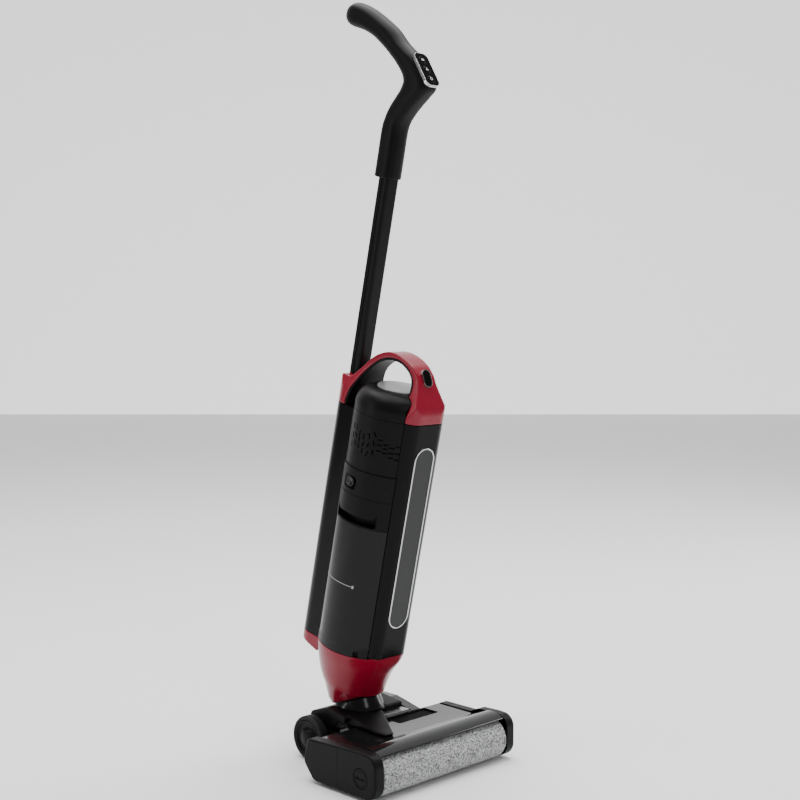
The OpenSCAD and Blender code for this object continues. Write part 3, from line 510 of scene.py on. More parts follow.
# The rear wheels: moulded hubs with a dished face and a cap, and soft grey-black tyres with three
# grooves round the tread.
WHEEL_R = 32
wheel_line = Matrix.Translation((0, (axle.y - roller_axis.y) * 1000, axle.z * 1000)) @ ALONG_X
dark_rubber = finish("dark_rubber", (0.007, 0.0071, 0.0075), 0.55, grain=0.00002, grain_scale=1800,
                     gleam=0.25)
for hand, side in ((-1, "left"), (1, "right")):
    mirror = Matrix.Scale(hand, 4, (1, 0, 0))
    hub = turned([(5.1, 64), (12, 64), (13, 65), (23, 65), (26.9, 65), (26.9, 78.5), (24.5, 79.4),
                  (23, 78.6), (21.5, 76.8), (16, 76.4), (14, 77.6), (12.6, 80.6), (9, 82.6), (0, 83.4),
                  (0, 81.8), (5.1, 81.8)])
    tyre = turned([(27, 64.8), (30, 64.6), (31.4, 65.4), (WHEEL_R, 67), (WHEEL_R, 68.2), (31.1, 68.5),
                   (31.1, 69.5), (WHEEL_R, 69.8), (WHEEL_R, 71.3), (31.1, 71.6), (31.1, 72.6),
                   (WHEEL_R, 72.9), (WHEEL_R, 74.4), (31.1, 74.7), (31.1, 75.7), (WHEEL_R, 76),
                   (WHEEL_R, 77.2), (31.4, 78.6), (30, 79.4), (28.6, 79.6), (28.2, 79.2), (27, 79.2)])
    for shape, name, material, node, edge in ((hub, "hub", satin_black, "wheel_hub_", 0.35),
                                              (tyre, "tyre", dark_rubber, "tyre_", 0.15)):
        moved(shape, mirror @ wheel_line)
        if hand < 0:
            bmesh.ops.reverse_faces(shape, faces=shape.faces)
        piece(shape, f"{name}_{side}_wheel", HEAD, material, "wheel_" + side, [node + side],
              edge=edge)

# The fairing over the right wheel: a smoky gloss shell, level with the hood and rising behind it.
guard = prism([(108.3, 30, 0), (108.3, HOOD_TOP, 2), (158, 67.5, 20), (198, 67, 22), (218.5, 36, 6),
               (216, 30, 0)], 66.5, 84, SIDE)
guard_room = prism([(100, 20, 0), (110.5, 54.5, 2), (158, 65.3, 18), (197, 65, 20), (216.2, 35, 5),
                    (214, 20, 0)], 60, 82, SIDE)
fairing_gloss = finish("fairing_gloss", (0.012, 0.0122, 0.0128), 0.14, grain=0.000002, gleam=0.4)
piece(combined(guard, guard_room), "wheel_fairing", HEAD, fairing_gloss, "head", ["wheel_guard"],
      edge=0.7, steps=3)


# The yoke: a thick black moulding with a drum round each end of the axle, shoulders up to the
# collar and a blade that reaches forward over the hood. All its edges are blended.
def melted(shape, grain, passes):
    """The solid with its edges melted together."""
    mesh = bpy.data.meshes.new("carrier")
    shape.to_mesh(mesh)
    shape.free()
    carrier = linked("carrier", mesh)
    cast = carrier.modifiers.new("cast", "REMESH")
    cast.mode = "VOXEL"
    cast.voxel_size = grain
    ease = carrier.modifiers.new("ease", "SMOOTH")
    ease.factor = 0.5
    ease.iterations = passes
    result = bmesh.new()
    result.from_object(carrier, bpy.context.evaluated_depsgraph_get())
    bpy.data.meshes.remove(mesh)
    return result


def blended(node, grain, passes):
    """A melted copy of a CAD solid."""
    shape = bmesh.new()
    shape.from_mesh(frame["nodes"][node].data)
    bmesh.ops.remove_doubles(shape, verts=shape.verts, dist=1e-6)
    return melted(shape, grain, passes)


piece(blended("neck_yoke", 0.0011, 8), "yoke", WORLD, satin_black, "yoke", ["neck_yoke"],
      smooth=70)
dress("neck_hose", black_rubber)


# The swivel collar: a semi-gloss black cuff with a lobe at the front, screwed to the yoke; the
# ring of the body turns inside it.
def skin(rings):
    """A surface through rings of points, each ring made from a circle."""
    shape = bmesh.new()
    loops = []
    for count, place_point in rings:
        circle = bmesh.ops.create_circle(shape, segments=count, radius=1)["verts"]
        for v in circle:
            v.co = place_point(math.atan2(v.co.y, v.co.x))
        loops.append([e for e in shape.edges if all(v in circle for v in e.verts)])
    for one, two in zip(loops, loops[1:]):
        bmesh.ops.bridge_loops(shape, edges=one + two)
    bmesh.ops.recalc_face_normals(shape, faces=shape.faces)
    return shape


LOBE_AHEAD = 9


def collar_ring(radius, lobe, height):
    """A ring of the collar: a circle with a smaller circle set forward."""
    def point(turn):
        c, s = math.cos(turn), math.sin(turn)
        ahead = 0
        if lobe:
            ahead = -LOBE_AHEAD * s + math.sqrt(max(0, lobe * lobe - (LOBE_AHEAD * c) ** 2))
        reach = max(radius, ahead)
        return Vector((reach * c, reach * s, height))
    return 96, point


semi_gloss = finish("semi_gloss", (0.004, 0.0041, 0.0044), 0.22, grain=0.000003, gleam=0.35)
collar = skin([collar_ring(31, 0, -1.5), collar_ring(34.2, 30, -1), collar_ring(35.2, 31.2, -1.8),
               collar_ring(37.2, 33.2, -12), collar_ring(38.4, 34.4, -21), collar_ring(37.6, 33.6, -23),
               collar_ring(31, 0, -23), collar_ring(31, 0, -1.5)])
bmesh.ops.remove_doubles(collar, verts=collar.verts, dist=0.001)
bmesh.ops.recalc_face_normals(collar, faces=collar.faces)
piece(collar, "collar", NECK, semi_gloss, "yoke", ["swivel_collar"])
dress("swivel_ring", satin_black)


# The foot of the body: a gloss crimson funnel, round under the tank, swollen under the front
# column and drawn in to the neck, where a crease marks off its skirt.
crimson = finish("crimson_gloss", (0.235, 0.0035, 0.019), 0.26, drift=0.04, grain=0.000001,
                  grain_scale=900, coat=0.15, gleam=0.3)

BODY_R = 64
COLUMN_HALF = 36
COLUMN_FRONT = -64.5
COLUMN_CORNER = 18
COLUMN_FOOT = 140
TANK_FOOT = 138
NECK_TOP = 60
to_body = BODY.inverted() @ NECK


def column_reach(turn, grow=0.0):
    """How far the rounded front column reaches from the body's axis in that direction."""
    c, s = math.cos(turn), math.sin(turn)
    if s > -0.3:
        return 0
    half, front, r = COLUMN_HALF + grow, -COLUMN_FRONT + grow, COLUMN_CORNER
    side = min(half / abs(c) if abs(c) > 1e-6 else 1e9, front / -s)
    cx, cy = half - r, front - r
    if abs(side * c) > cx and -side * s > cy:
        along = cx * abs(c) - cy * s
        side = along + math.sqrt(max(0, along * along - cx * cx - cy * cy + r * r))
    return side


def foot_ring(back, front, height, swell=None, lift=0.0):
    """A ring of the foot: wider at the back than at the front, where it swells out to the column."""
    def point(turn):
        ahead = (1 - math.sin(turn)) / 2
        radius = back + (front - back) * ahead ** 0.8
        reach = radius if swell is None else max(radius, column_reach(turn, swell))
        drop = max(0, 1 - (height - NECK_TOP) / (TANK_FOOT - NECK_TOP))
        return Vector((reach * math.cos(turn), reach * math.sin(turn) - 6 * drop,
                       height + (lift if reach > radius + 0.05 else 0)))
    return 144, point


def neck_ring(radius, height):
    """A round ring at the foot of the funnel, square to the neck."""
    return 144, lambda turn: to_body @ Vector((radius * math.cos(turn), radius * math.sin(turn), height))


RISE = COLUMN_FOOT - TANK_FOOT
foot_rings = [foot_ring(61, 61, TANK_FOOT - 1.5, -3, RISE),
              foot_ring(61.4, 61.4, TANK_FOOT - 0.4, -2.6, RISE),
              foot_ring(BODY_R - 0.5, BODY_R - 0.5, TANK_FOOT - 0.2, -0.5, RISE),
              foot_ring(BODY_R, BODY_R, TANK_FOOT - 0.8, 0, RISE), foot_ring(BODY_R, 63.6, 132, -0.5),
              foot_ring(63.9, 61.6, 126, -2.4), foot_ring(63.7, 58.6, 120, -5.6),
              foot_ring(63.4, 55, 114, -9.6), foot_ring(62.9, 51.6, 108, -14),
              foot_ring(62.2, 48.6, 102, -18.5), foot_ring(61.2, 46.2, 96, -23),
              foot_ring(59.8, 44.4, 90), foot_ring(57.6, 43, 84), foot_ring(54.4, 41.8, 78),
              foot_ring(51.6, 40.8, 73.5), foot_ring(50.2, 40.6, 71.5), neck_ring(38.4, 11),
              neck_ring(36.4, 5), neck_ring(35.4, 1.8), neck_ring(34.4, 1.2), neck_ring(33.2, 1.4),
              neck_ring(33.1, 6)]
foot = skin(foot_rings)
soft = [v for v in foot.verts if 74 < v.co.z < 134 and (v.co.xy.length > 41 or v.co.z > 90)]
for k in range(6):
    bmesh.ops.smooth_vert(foot, verts=soft, factor=0.5, use_axis_x=True, use_axis_y=True,
                          use_axis_z=False)
piece(foot, "body_foot", BODY, crimson, "upright", ["base_funnel"], smooth=34)

# The spine: a gloss black rear column that holds battery, pump and board, and the wall that closes
# the tank bay on the right, moulded in one with it.
gloss_black = finish("gloss_black", (0.0016, 0.0016, 0.0018), 0.18, grain=0.000002, gleam=0.12)
REAR_HALF, REAR_BACK, REAR_CORNER = 32, 107, 27
SPINE_LOW, SPINE_HIGH = 126, 480
FILTER_TOP = 409
spine = prism([(-REAR_HALF, 50, 0), (REAR_HALF, 50, 0), (REAR_HALF, REAR_BACK, REAR_CORNER),
               (-REAR_HALF, REAR_BACK, REAR_CORNER)], SPINE_LOW, SPINE_HIGH)
bore = moved(turned([(0, -6), (6.55, -6), (6.55, 20), (0, 20)]),
             Matrix.Translation((0, REAR_BACK, 140)) @ Matrix.Rotation(-math.pi / 2, 4, "X"))
spine = combined(spine, bore)
DRUM_BAY_R = 62.7
spine = combined(spine, turned([(0, FILTER_TOP), (DRUM_BAY_R, FILTER_TOP), (DRUM_BAY_R, 500), (0, 500)]))
spine = combined(spine, turned([(0, 100), (BODY_R + 0.2, 100), (BODY_R + 0.2, TANK_FOOT + 0.2),
                                (0, TANK_FOOT + 0.2)]))
piece(spine, "spine", BODY, gloss_black, "upright", ["spine_shell"], edge=0.8, steps=3)
WALL_LOW = TANK_FOOT + 0.3
WALL_START, WALL_SWEEP = math.radians(-55.2), math.radians(55.2 + 128.8)
wall = bmesh.new()
wall_line = [wall.verts.new((r, 0, z)) for r, z in ((BODY_R - 2.4, WALL_LOW), (BODY_R, WALL_LOW),
                                                    (BODY_R, SPINE_HIGH), (BODY_R - 2.4, SPINE_HIGH))]
wall.faces.new(wall_line)
bmesh.ops.rotate(wall, cent=(0, 0, 0), matrix=Matrix.Rotation(WALL_START, 3, "Z"), verts=wall.verts)
bmesh.ops.spin(wall, geom=wall.verts[:] + wall.edges[:] + wall.faces[:], cent=(0, 0, 0),
               axis=(0, 0, 1), dvec=(0, 0, 0), angle=WALL_SWEEP, steps=110,
               use_merge=False, use_duplicate=False)
bmesh.ops.holes_fill(wall, edges=[e for e in wall.edges if e.is_boundary])
bmesh.ops.recalc_face_normals(wall, faces=wall.faces)
wall = combined(wall, turned([(0, FILTER_TOP), (DRUM_BAY_R, FILTER_TOP), (DRUM_BAY_R, 500), (0, 500)]))
piece(wall, "bay_wall", BODY, gloss_black, "upright", None, edge=0.5)
for node, material in (("battery_pack", finish("blue_wrap", (0.03, 0.09, 0.3), 0.3)),
                       ("circuit_board", finish("green_laminate", (0.01, 0.13, 0.05), 0.4)),
                       ("water_pump", satin_black), ("charge_socket", black_rubber),
                       ("suction_motor", zinc), ("impeller", turned_aluminium),
                       ("clean_tank", finish("milky_clear", (0.6, 0.68, 0.72), 0.2, clear=0.6))):
    dress(node, material)

# The red cap under the rear column and the black tab that holds the machine in its parking tray:
# two small mouldings with soft edges, screwed up into the column.
piece(blended("foot_cap", 0.0008, 4), "rear_foot", WORLD, crimson, "upright", ["foot_cap"],
      smooth=60)
piece(blended("park_tab", 0.0005, 4), "parking_tab", WORLD, semi_gloss, "upright", ["park_tab"],
      smooth=60)

# The front column: the gloss black housing of the clean water tank, with large round corners, and
# at its face a chrome loop round a grey level window.
column = prism([(-COLUMN_HALF, -31, 0), (-COLUMN_HALF, COLUMN_FRONT, COLUMN_CORNER),
                (COLUMN_HALF, COLUMN_FRONT, COLUMN_CORNER), (COLUMN_HALF, -31, 0)], COLUMN_FOOT + 0.3, 488)
column = combined(column, slab(-80, 80, -49.8, 0, 0, FILTER_TOP, 600))
piece(column, "front_column_shell", BODY, gloss_black, "upright", ["front_column"],
      edge=0.5, steps=3)
LOOP_LOW, LOOP_HIGH, LOOP_HALF = 185, 455, 19.3


def stadium(half, low, high, back, front):
    """A slot-shaped plate on the column's face, made from a circle whose halves are moved apart."""
    shape = bmesh.new()
    bmesh.ops.create_circle(shape, cap_ends=True, segments=64, radius=half)
    for v in shape.verts:
        v.co.y += (high - half) if v.co.y > 1e-6 else (low + half)
    pulled = bmesh.ops.extrude_face_region(shape, geom=shape.faces[:])["geom"]
    bmesh.ops.translate(shape, vec=(0, 0, front - back),
                        verts=[v for v in pulled if isinstance(v, bmesh.types.BMVert)])
    bmesh.ops.recalc_face_normals(shape, faces=shape.faces)
    return moved(shape, FRONT @ Matrix.Translation((0, 0, -COLUMN_FRONT + back)))


chrome = finish("chrome", (0.46, 0.465, 0.475), 0.16, drift=0.02, grain=0.0000005, metal=1.0)
loop = combined(stadium(LOOP_HALF, LOOP_LOW, LOOP_HIGH, -0.5, 1.3),
                stadium(LOOP_HALF - 2.3, LOOP_LOW + 2.3, LOOP_HIGH - 2.3, -5, 5))
piece(loop, "chrome_loop", BODY, chrome, "upright", ["level_loop"], edge=0.6, steps=4,
      smooth=60)
window_grey = finish("window_grey", (0.030, 0.0305, 0.032), 0.3, grain=0.000002, gleam=0.2)
piece(stadium(LOOP_HALF - 2.4, LOOP_LOW + 2.4, LOOP_HIGH - 2.4, -0.3, 0.35), "level_window", BODY,
      window_grey, "upright", ["level_insert"], edge=0.2)

# The carrying arch: a gloss crimson bow from the column over the motor to the spine, lined
# inside with black grip plastic, with a round-ended button on its front slope.
ARCH_LINE = [(-64.5, 488.3), (-64.5, 501), (-61.5, 513), (-55, 527), (-49, 539), (-42, 551), (-31, 561.5),
             (-16, 568.5), (0, 572), (12, 572.5), (25, 570.5), (40, 563.5), (51, 555.5), (60, 546),
             (67, 537), (73, 529), (77, 523.5), (81, 521), (97, 521), (102, 515), (105, 506),
             (107, 497), (107, 480.3), (50, 480.3), (30, 488.3)]
HOLE_LINE = [(78.2, 440), (78.2, 489), (75, 498), (70, 512), (63, 527), (56, 538), (47, 548), (36, 556.5),
             (20, 563.5), (4, 565.5), (-12, 563), (-29, 553), (-38.5, 536), (-39.5, 520), (-33, 500),
             (-35, 440)]
WIDTH_LINE = [(42, 460), (40, 484), (28, 515), (18.5, 540), (17, 556), (17, 590)]


def eased(points, keep, steps=5):
    """A closed outline through the points, curved everywhere but at the kept corners."""
    line, count = [], len(points)
    for i in range(count):
        before, here, there, after = (Vector(points[k % count]) for k in (i - 1, i, i + 1, i + 2))
        straight = (there - here).normalized()
        span = (there - here).length
        lead = straight if i in keep else (there - before).normalized()
        trail = straight if (i + 1) % count in keep else (after - here).normalized()
        line += interpolate_bezier(here, here + lead * span / 3, there - trail * span / 3, there,
                                   steps + 1)[:-1]
    return [(p.x, p.y, 0) for p in line]


def width_block(give):
    """The space the arch may fill, seen from the front: slim at the top, wide at its feet."""
    side = eased(WIDTH_LINE, {0, len(WIDTH_LINE) - 1})[:5 * (len(WIDTH_LINE) - 1) + 1]
    right = [(x - give, z, 0) for x, z, r in side]
    return prism(right + [(-x, z, 0) for x, z, r in reversed(right)], -130, 90, FRONT)


def plan_block(give):
    """The space the arch may fill, seen from above: column, bridge and spine."""
    bridge = 18.8 - give
    block = prism([(-COLUMN_HALF + give, -28, 0), (-COLUMN_HALF + give, COLUMN_FRONT + give, COLUMN_CORNER),
                   (COLUMN_HALF - give, COLUMN_FRONT + give, COLUMN_CORNER),
                   (COLUMN_HALF - give, -28, 0)], 400, 600)
    block = combined(block, slab(-bridge, bridge, -40, 70, 0, 401, 599), "UNION")
    return combined(block, prism([(-REAR_HALF + give, 50, 0), (REAR_HALF - give, 50, 0),
                                  (REAR_HALF - give, REAR_BACK - give, REAR_CORNER),
                                  (-REAR_HALF + give, REAR_BACK - give, REAR_CORNER)], 402, 598), "UNION")


HOUSING_R = 62.3
SHOULDER_R = 25
SHOULDER_LOW = 498
arc = [math.radians(90 * i / 14) for i in range(15)]


def shoulder(gap=0.0, skip=0):
    """The rounded shoulder of the motor drum, grown by the gap."""
    return [(HOUSING_R - SHOULDER_R + gap + SHOULDER_R * math.cos(a),
             SHOULDER_LOW + gap + SHOULDER_R * math.sin(a)) for a in arc[skip:]]


def drum_room(gap):
    """The room of the motor drum under the arch."""
    return turned([(0, 400), (HOUSING_R + gap, 400), (HOUSING_R + gap, SHOULDER_LOW + gap)]
                  + shoulder(gap, 1) + [(0, SHOULDER_LOW + SHOULDER_R + gap)])


FEET = {0, 21, 22, 23, 24}
HOLE_FEET = {0, 1, 15}
bow = combined(prism(eased(ARCH_LINE, FEET), -60, 60, SIDE),
               prism(eased(HOLE_LINE, HOLE_FEET), -70, 70, SIDE))
bow = combined(combined(bow, width_block(0), "INTERSECT"), plan_block(0), "INTERSECT")
drum_cut = combined(drum_room(0.5), slab(-36.4, 36.4, -90, -49.9, 0, 390, 600))
bow = combined(bow, drum_cut)
piece(melted(bow, 1.0, 4), "carrying_arch", BODY, crimson, "upright", ["carry_arch"],
      smooth=60)
lining = bmesh.new()
sheet = lining.faces.new([lining.verts.new((a, b, -60)) for a, b, r in eased(HOLE_LINE, HOLE_FEET)])
bmesh.ops.inset_region(lining, faces=[sheet], thickness=0.2, use_boundary=True)
spare = [f for f in lining.faces if f != sheet]
bmesh.ops.inset_region(lining, faces=[sheet], thickness=3.4, use_boundary=True)
bmesh.ops.delete(lining, geom=spare + [sheet], context="FACES")
pulled = bmesh.ops.extrude_face_region(lining, geom=lining.faces[:])["geom"]
bmesh.ops.translate(lining, vec=(0, 0, 120),
                    verts=[v for v in pulled if isinstance(v, bmesh.types.BMVert)])
bmesh.ops.recalc_face_normals(lining, faces=lining.faces)
moved(lining, SIDE)
lining = combined(combined(lining, width_block(0.7), "INTERSECT"), plan_block(0.7), "INTERSECT")
lining = combined(lining, drum_room(0.6))
lining = combined(lining, slab(-60, 60, -90, 60, 0, 380, 512))
lining = combined(lining, slab(-60, 60, 30, 100, 0, 380, 481))
piece(melted(lining, 0.7, 3), "arch_lining", BODY, satin_black, "upright", ["arch_liner"],
      smooth=60)


def oval(half, reach, low, high, place):
    """A round-ended plate, made from a circle whose halves are moved apart."""
    shape = bmesh.new()
    bmesh.ops.create_circle(shape, cap_ends=True, segments=48, radius=half)
    for v in shape.verts:
        v.co.y += (reach - half) * (1 if v.co.y > 1e-6 else -1)
    pulled = bmesh.ops.extrude_face_region(shape, geom=shape.faces[:])["geom"]
    bmesh.ops.translate(shape, vec=(0, 0, high - low),
                        verts=[v for v in pulled if isinstance(v, bmesh.types.BMVert)])
    bmesh.ops.translate(shape, vec=(0, 0, low), verts=shape.verts)
    bmesh.ops.recalc_face_normals(shape, faces=shape.faces)
    return moved(shape, place)


arch_face = Matrix.Translation((0, -41.5, 547.8)) @ Matrix.Rotation(math.radians(58), 4, "X")
piece(combined(oval(8.2, 13, 1.0, 5.0, arch_face), oval(7.2, 12, -3, 9, arch_face)), "arch_button_rim",
      BODY, chrome, "upright", None, edge=0.25)
piece(oval(7, 11.8, -1.6, 5.4, arch_face), "arch_release", BODY, deep_gloss, "arch_button",
      ["arch_button"], edge=0.7, steps=3)

# The motor housing: a satin black drum with a domed shoulder and a wavy band of vent slots, which
# lean on the left and lie flat towards the column.
drum = turned([(0, FILTER_TOP + 0.6), (HOUSING_R, FILTER_TOP + 0.6), (HOUSING_R, 487.6),
               (HOUSING_R - 0.5, 488), (HOUSING_R, 488.4)]
              + shoulder() + [(35.3, SHOULDER_LOW + SHOULDER_R), (35.3, 521.8), (0, 521.8)], steps=144)
drum = combined(drum, slab(-36.3, 36.3, -90, -49.6, 0, 390, 600))
slots = []
for column_at in range(10):
    steep = column_at < 6
    for row in range(3):
        lean = math.radians(8 + 26 * math.sin(1.1 * column_at + row)) if steep else math.radians(90)
        height = 440 + (11.2 if steep else 8) * row + 4.5 * math.sin(1.25 * column_at + 0.5 * row)
        reach, breadth = (4.1, 1.0) if steep else (3.9, 0.95)
        slots.append(moved(slab(-reach, reach, -breadth, breadth, 0.9, HOUSING_R - 3, HOUSING_R + 3),
                           Matrix.Translation((0, 0, height))
                           @ Matrix.Rotation(math.radians(158 + 8.2 * column_at), 4, "Z")
                           @ Matrix.Rotation(math.pi / 2, 4, "Y") @ Matrix.Rotation(lean, 4, "Z")))
drum = combined(drum, joined(*slots))
piece(drum, "motor_drum", BODY, satin_black, "upright", ["motor_housing"], edge=0.2)

# The disc on top of the drum: a light grey satin cap, moulded with a fine groove near its edge and
# pressed in over the motor screws.
disc_grey = finish("disc_grey", (0.22, 0.224, 0.228), 0.3, grain=0.000005, metal=0.2)
piece(turned([(0, 521.9), (34.9, 521.9), (34.9, 524.2), (34, 525.4), (31, 525.4), (30.4, 524.9),
              (29.8, 525.4), (0, 525.4)]), "top_cap", BODY, disc_grey, "upright", ["top_disc"],
      edge=0.3)

# The dirty water tank: a tall smoked shell that slides out to the left, with a riser pipe inside,
# a printed fill line and a black foot that seals on the funnel.
TANK_R = BODY_R - 0.3
TANK_LOW, TANK_HIGH = 152, 330


def tank_block(radius, low, high):
    """The tank's section: round on the left, flat at the back, stepped beside the column."""
    shape = bmesh.new()
    bmesh.ops.create_circle(shape, cap_ends=True, segments=160, radius=radius)
    for v in shape.verts:
        if v.co.x > 0.01:
            v.co *= (radius - 3.2) / radius
    pulled = bmesh.ops.extrude_face_region(shape, geom=shape.faces[:])["geom"]
    bmesh.ops.translate(shape, vec=(0, 0, high - low),
                        verts=[v for v in pulled if isinstance(v, bmesh.types.BMVert)])
    bmesh.ops.translate(shape, vec=(0, 0, low), verts=shape.verts)
    bmesh.ops.recalc_face_normals(shape, faces=shape.faces)
    inset = TANK_R - radius
    shape = combined(shape, slab(-90, 90, 48.5 - inset, 90, 0, low - 5, high + 5))
    return combined(shape, slab(-36.6 - inset, 90, -90, -30.4 + inset, 0, low - 5, high + 5))


smoked = finish("smoked_clear", (0.004, 0.004, 0.0043), 0.12, grain=0.000001, clear=0.2, gleam=0.14)
tank = combined(tank_block(TANK_R, TANK_LOW, TANK_HIGH), tank_block(TANK_R - 2.5, TANK_LOW + 2.4, 340))
piece(tank, "tank_shell", BODY, smoked, "tank", ["dirty_tank"], edge=0.35)
riser = turned([(12, 153), (14, 153), (14, 303), (13.2, 305), (12, 305)])
piece(moved(riser, Matrix.Translation((0, 6, 0))), "riser_pipe", BODY, smoked, "tank", None,
      edge=0.2)
dress("tank_float", finish("float_orange", (0.7, 0.22, 0.02), 0.4))
tank_foot = tank_block(TANK_R, TANK_FOOT + 0.4, TANK_LOW)
tank_foot = combined(tank_foot, slab(-66, -46, -44, -37, 1, 136, 147))
foot_black = finish("foot_black", (0.006, 0.006, 0.0064), 0.32, grain=0.00001, gleam=0.2)
piece(tank_foot, "tank_base", BODY, foot_black, "tank", ["tank_foot"], edge=0.7, steps=3)


def print_band(radius, low, high, start, stop):
    """A thin printed stripe round part of the tank, angles in degrees."""
    shape = bmesh.new()
    line = [shape.verts.new((r, 0, z)) for r, z in ((radius, low), (radius + 0.12, low),
                                                    (radius + 0.12, high), (radius, high))]
    shape.faces.new(line)
    bmesh.ops.rotate(shape, cent=(0, 0, 0), matrix=Matrix.Rotation(math.radians(start), 3, "Z"),
                     verts=shape.verts)
    bmesh.ops.spin(shape, geom=shape.verts[:] + shape.edges[:] + shape.faces[:], cent=(0, 0, 0),
                   axis=(0, 0, 1), dvec=(0, 0, 0), angle=math.radians(stop - start),
                   steps=max(2, round((stop - start) / 2)), use_merge=False, use_duplicate=False)
    bmesh.ops.holes_fill(shape, edges=[e for e in shape.edges if e.is_boundary])
    bmesh.ops.recalc_face_normals(shape, faces=shape.faces)
    return shape


print_grey = finish("print_grey", (0.33, 0.33, 0.33), 0.5)
FILL_LINE = 241
piece(joined(print_band(TANK_R, FILL_LINE - 0.45, FILL_LINE + 0.45, 142, 199),
             print_band(TANK_R, FILL_LINE - 2.2, FILL_LINE + 2.2, 200, 203)), "fill_line", BODY,
      print_grey, "tank", None)

# The filter housing on top of the tank: a black ring with a finger pocket under a pulling lip, a
# seam round its middle and a sprung latch button.
POCKET_BACK, POCKET_FRONT = -40, 34
LIP_LOW, LIP_HIGH = 344, 368
LATCH_PLACE = Matrix.Translation((0, 12, 388)) @ ALONG_X
housing = tank_block(TANK_R, TANK_HIGH + 0.5, FILTER_TOP)
pocket = prism([(POCKET_BACK, TANK_HIGH + 2.2, 3), (POCKET_FRONT, TANK_HIGH + 2.2, 3),
                (POCKET_FRONT, LIP_HIGH, 6), (POCKET_BACK, LIP_HIGH, 6)], -90, -40, SIDE)
pocket_limit = turned([(BODY_R - 13, 300), (90, 300), (90, 400), (BODY_R - 13, 400)], steps=128)
housing = combined(housing, combined(pocket, pocket_limit, "INTERSECT"))
housing = combined(housing, turned([(TANK_R - 0.6, 371.6), (70, 371.6), (70, 372.6), (TANK_R - 0.6, 372.6)],
                                   steps=144))
latch_seat = slab(-3, 27, 378.5, 397.5, 7, -90, -58.5, SIDE)
housing = combined(housing, latch_seat)
latch_bore = moved(turned([(0, -90), (8.3, -90), (8.3, -46), (0, -46)]),
                   LATCH_PLACE)
housing = combined(housing, latch_bore)
piece(housing, "filter_ring", BODY, satin_black, "tank", ["filter_housing"], edge=0.5)
lip = turned([(TANK_R - 3.4, LIP_LOW), (TANK_R, LIP_LOW), (TANK_R, LIP_HIGH + 1),
              (TANK_R - 3.4, LIP_HIGH + 1)], steps=144)
lip = combined(lip, prism([(POCKET_BACK - 0.5, LIP_LOW - 1, 12), (POCKET_FRONT + 0.5, LIP_LOW - 1, 12),
                           (POCKET_FRONT + 0.5, LIP_HIGH + 5, 0), (POCKET_BACK - 0.5, LIP_HIGH + 5, 0)],
                          -90, -30, SIDE), "INTERSECT")
piece(lip, "pull_lip", BODY, satin_black, "tank", None, edge=0.5)
piece(moved(turned([(0, -49.6), (7.6, -49.6), (7.9, -50), (7.9, -61), (7.2, -61.7), (5.5, -61.9),
                    (3.5, -61.2), (0, -60.8)]), LATCH_PLACE),
      "latch_key", BODY, semi_gloss, "latch", ["latch_button"], edge=0.2)
dress("tank_filter", finish("filter_paper", (0.72, 0.72, 0.68), 0.8))

# The pole: an anodised tube with rounded corners and a shallow groove down each side, glued into
# the socket of the arch.
POLE_AT = 90
anodised = finish("anodised_black", (0.0025, 0.0025, 0.0028), 0.32, grain=0.000005, gleam=0.16)
half_pole = [(12, -10, 4.5), (12, -1.4, 0), (11, -1.1, 0), (11, 1.1, 0), (12, 1.4, 0), (12, 10, 4.5)]
pole = prism([(x, POLE_AT + y, r) for x, y, r in half_pole]
             + [(-x, POLE_AT + y, r) for x, y, r in reversed(half_pole)], 490, 846)
piece(pole, "pole_tube", BODY, anodised, "upright", ["pole"], edge=0.2)

# The handle: two satin black half shells, screwed together along the middle, that swell from the
# sleeve on the pole through the elbow to a rounded grip.
GRIP_STATIONS = [((109, 805), (76, 805)), ((109, 815), (76, 815)), ((109, 840), (76, 840)),
                 ((109, 868), (76, 871)), ((107, 884), (73, 885)), ((101, 901), (64, 899)),
                 ((93, 915), (53, 912)), ((86.5, 926), (42, 924)), ((83, 938), (32.4, 936)),
                 ((86, 946.5), (38, 948)), ((93, 954), (48, 958.5)), ((105, 963.5), (60, 971)),
                 ((121, 974), (77, 981)), ((139, 984.5), (96, 991.5)), ((158, 993.5), (118, 1007.5)),
                 ((176, 998.8), (143, 1019.7)), ((190, 1001.2), (168, 1029.7)),
                 ((202, 1002.6), (190, 1035.6)), ((211, 1005), (203, 1036.6)),
                 ((217, 1010), (213, 1032.6)), ((219.8, 1016), (218.6, 1026.5))]
GRIP_HALF = 16
SLEEVE_SQUARE, GRIP_SQUARE = 3.4, 2.4
LAST_SLEEVE, LAST_BEND = 3, 12
TIP_HALVES = {18: 14.6, 19: 11.4, 20: 5.6}


def grip_ring(back, front, half, square):
    """A ring of the handle: a softened box between a back point and a front point."""
    centre, reach = (back + front) / 2, (front - back) / 2

    def point(turn):
        c, s = math.cos(turn), math.sin(turn)
        u = math.copysign(abs(c) ** (2 / square), c)
        w = math.copysign(abs(s) ** (2 / square), s)
        spot = centre + reach * w
        return Vector((half * u, spot.x, spot.y))
    return 64, point


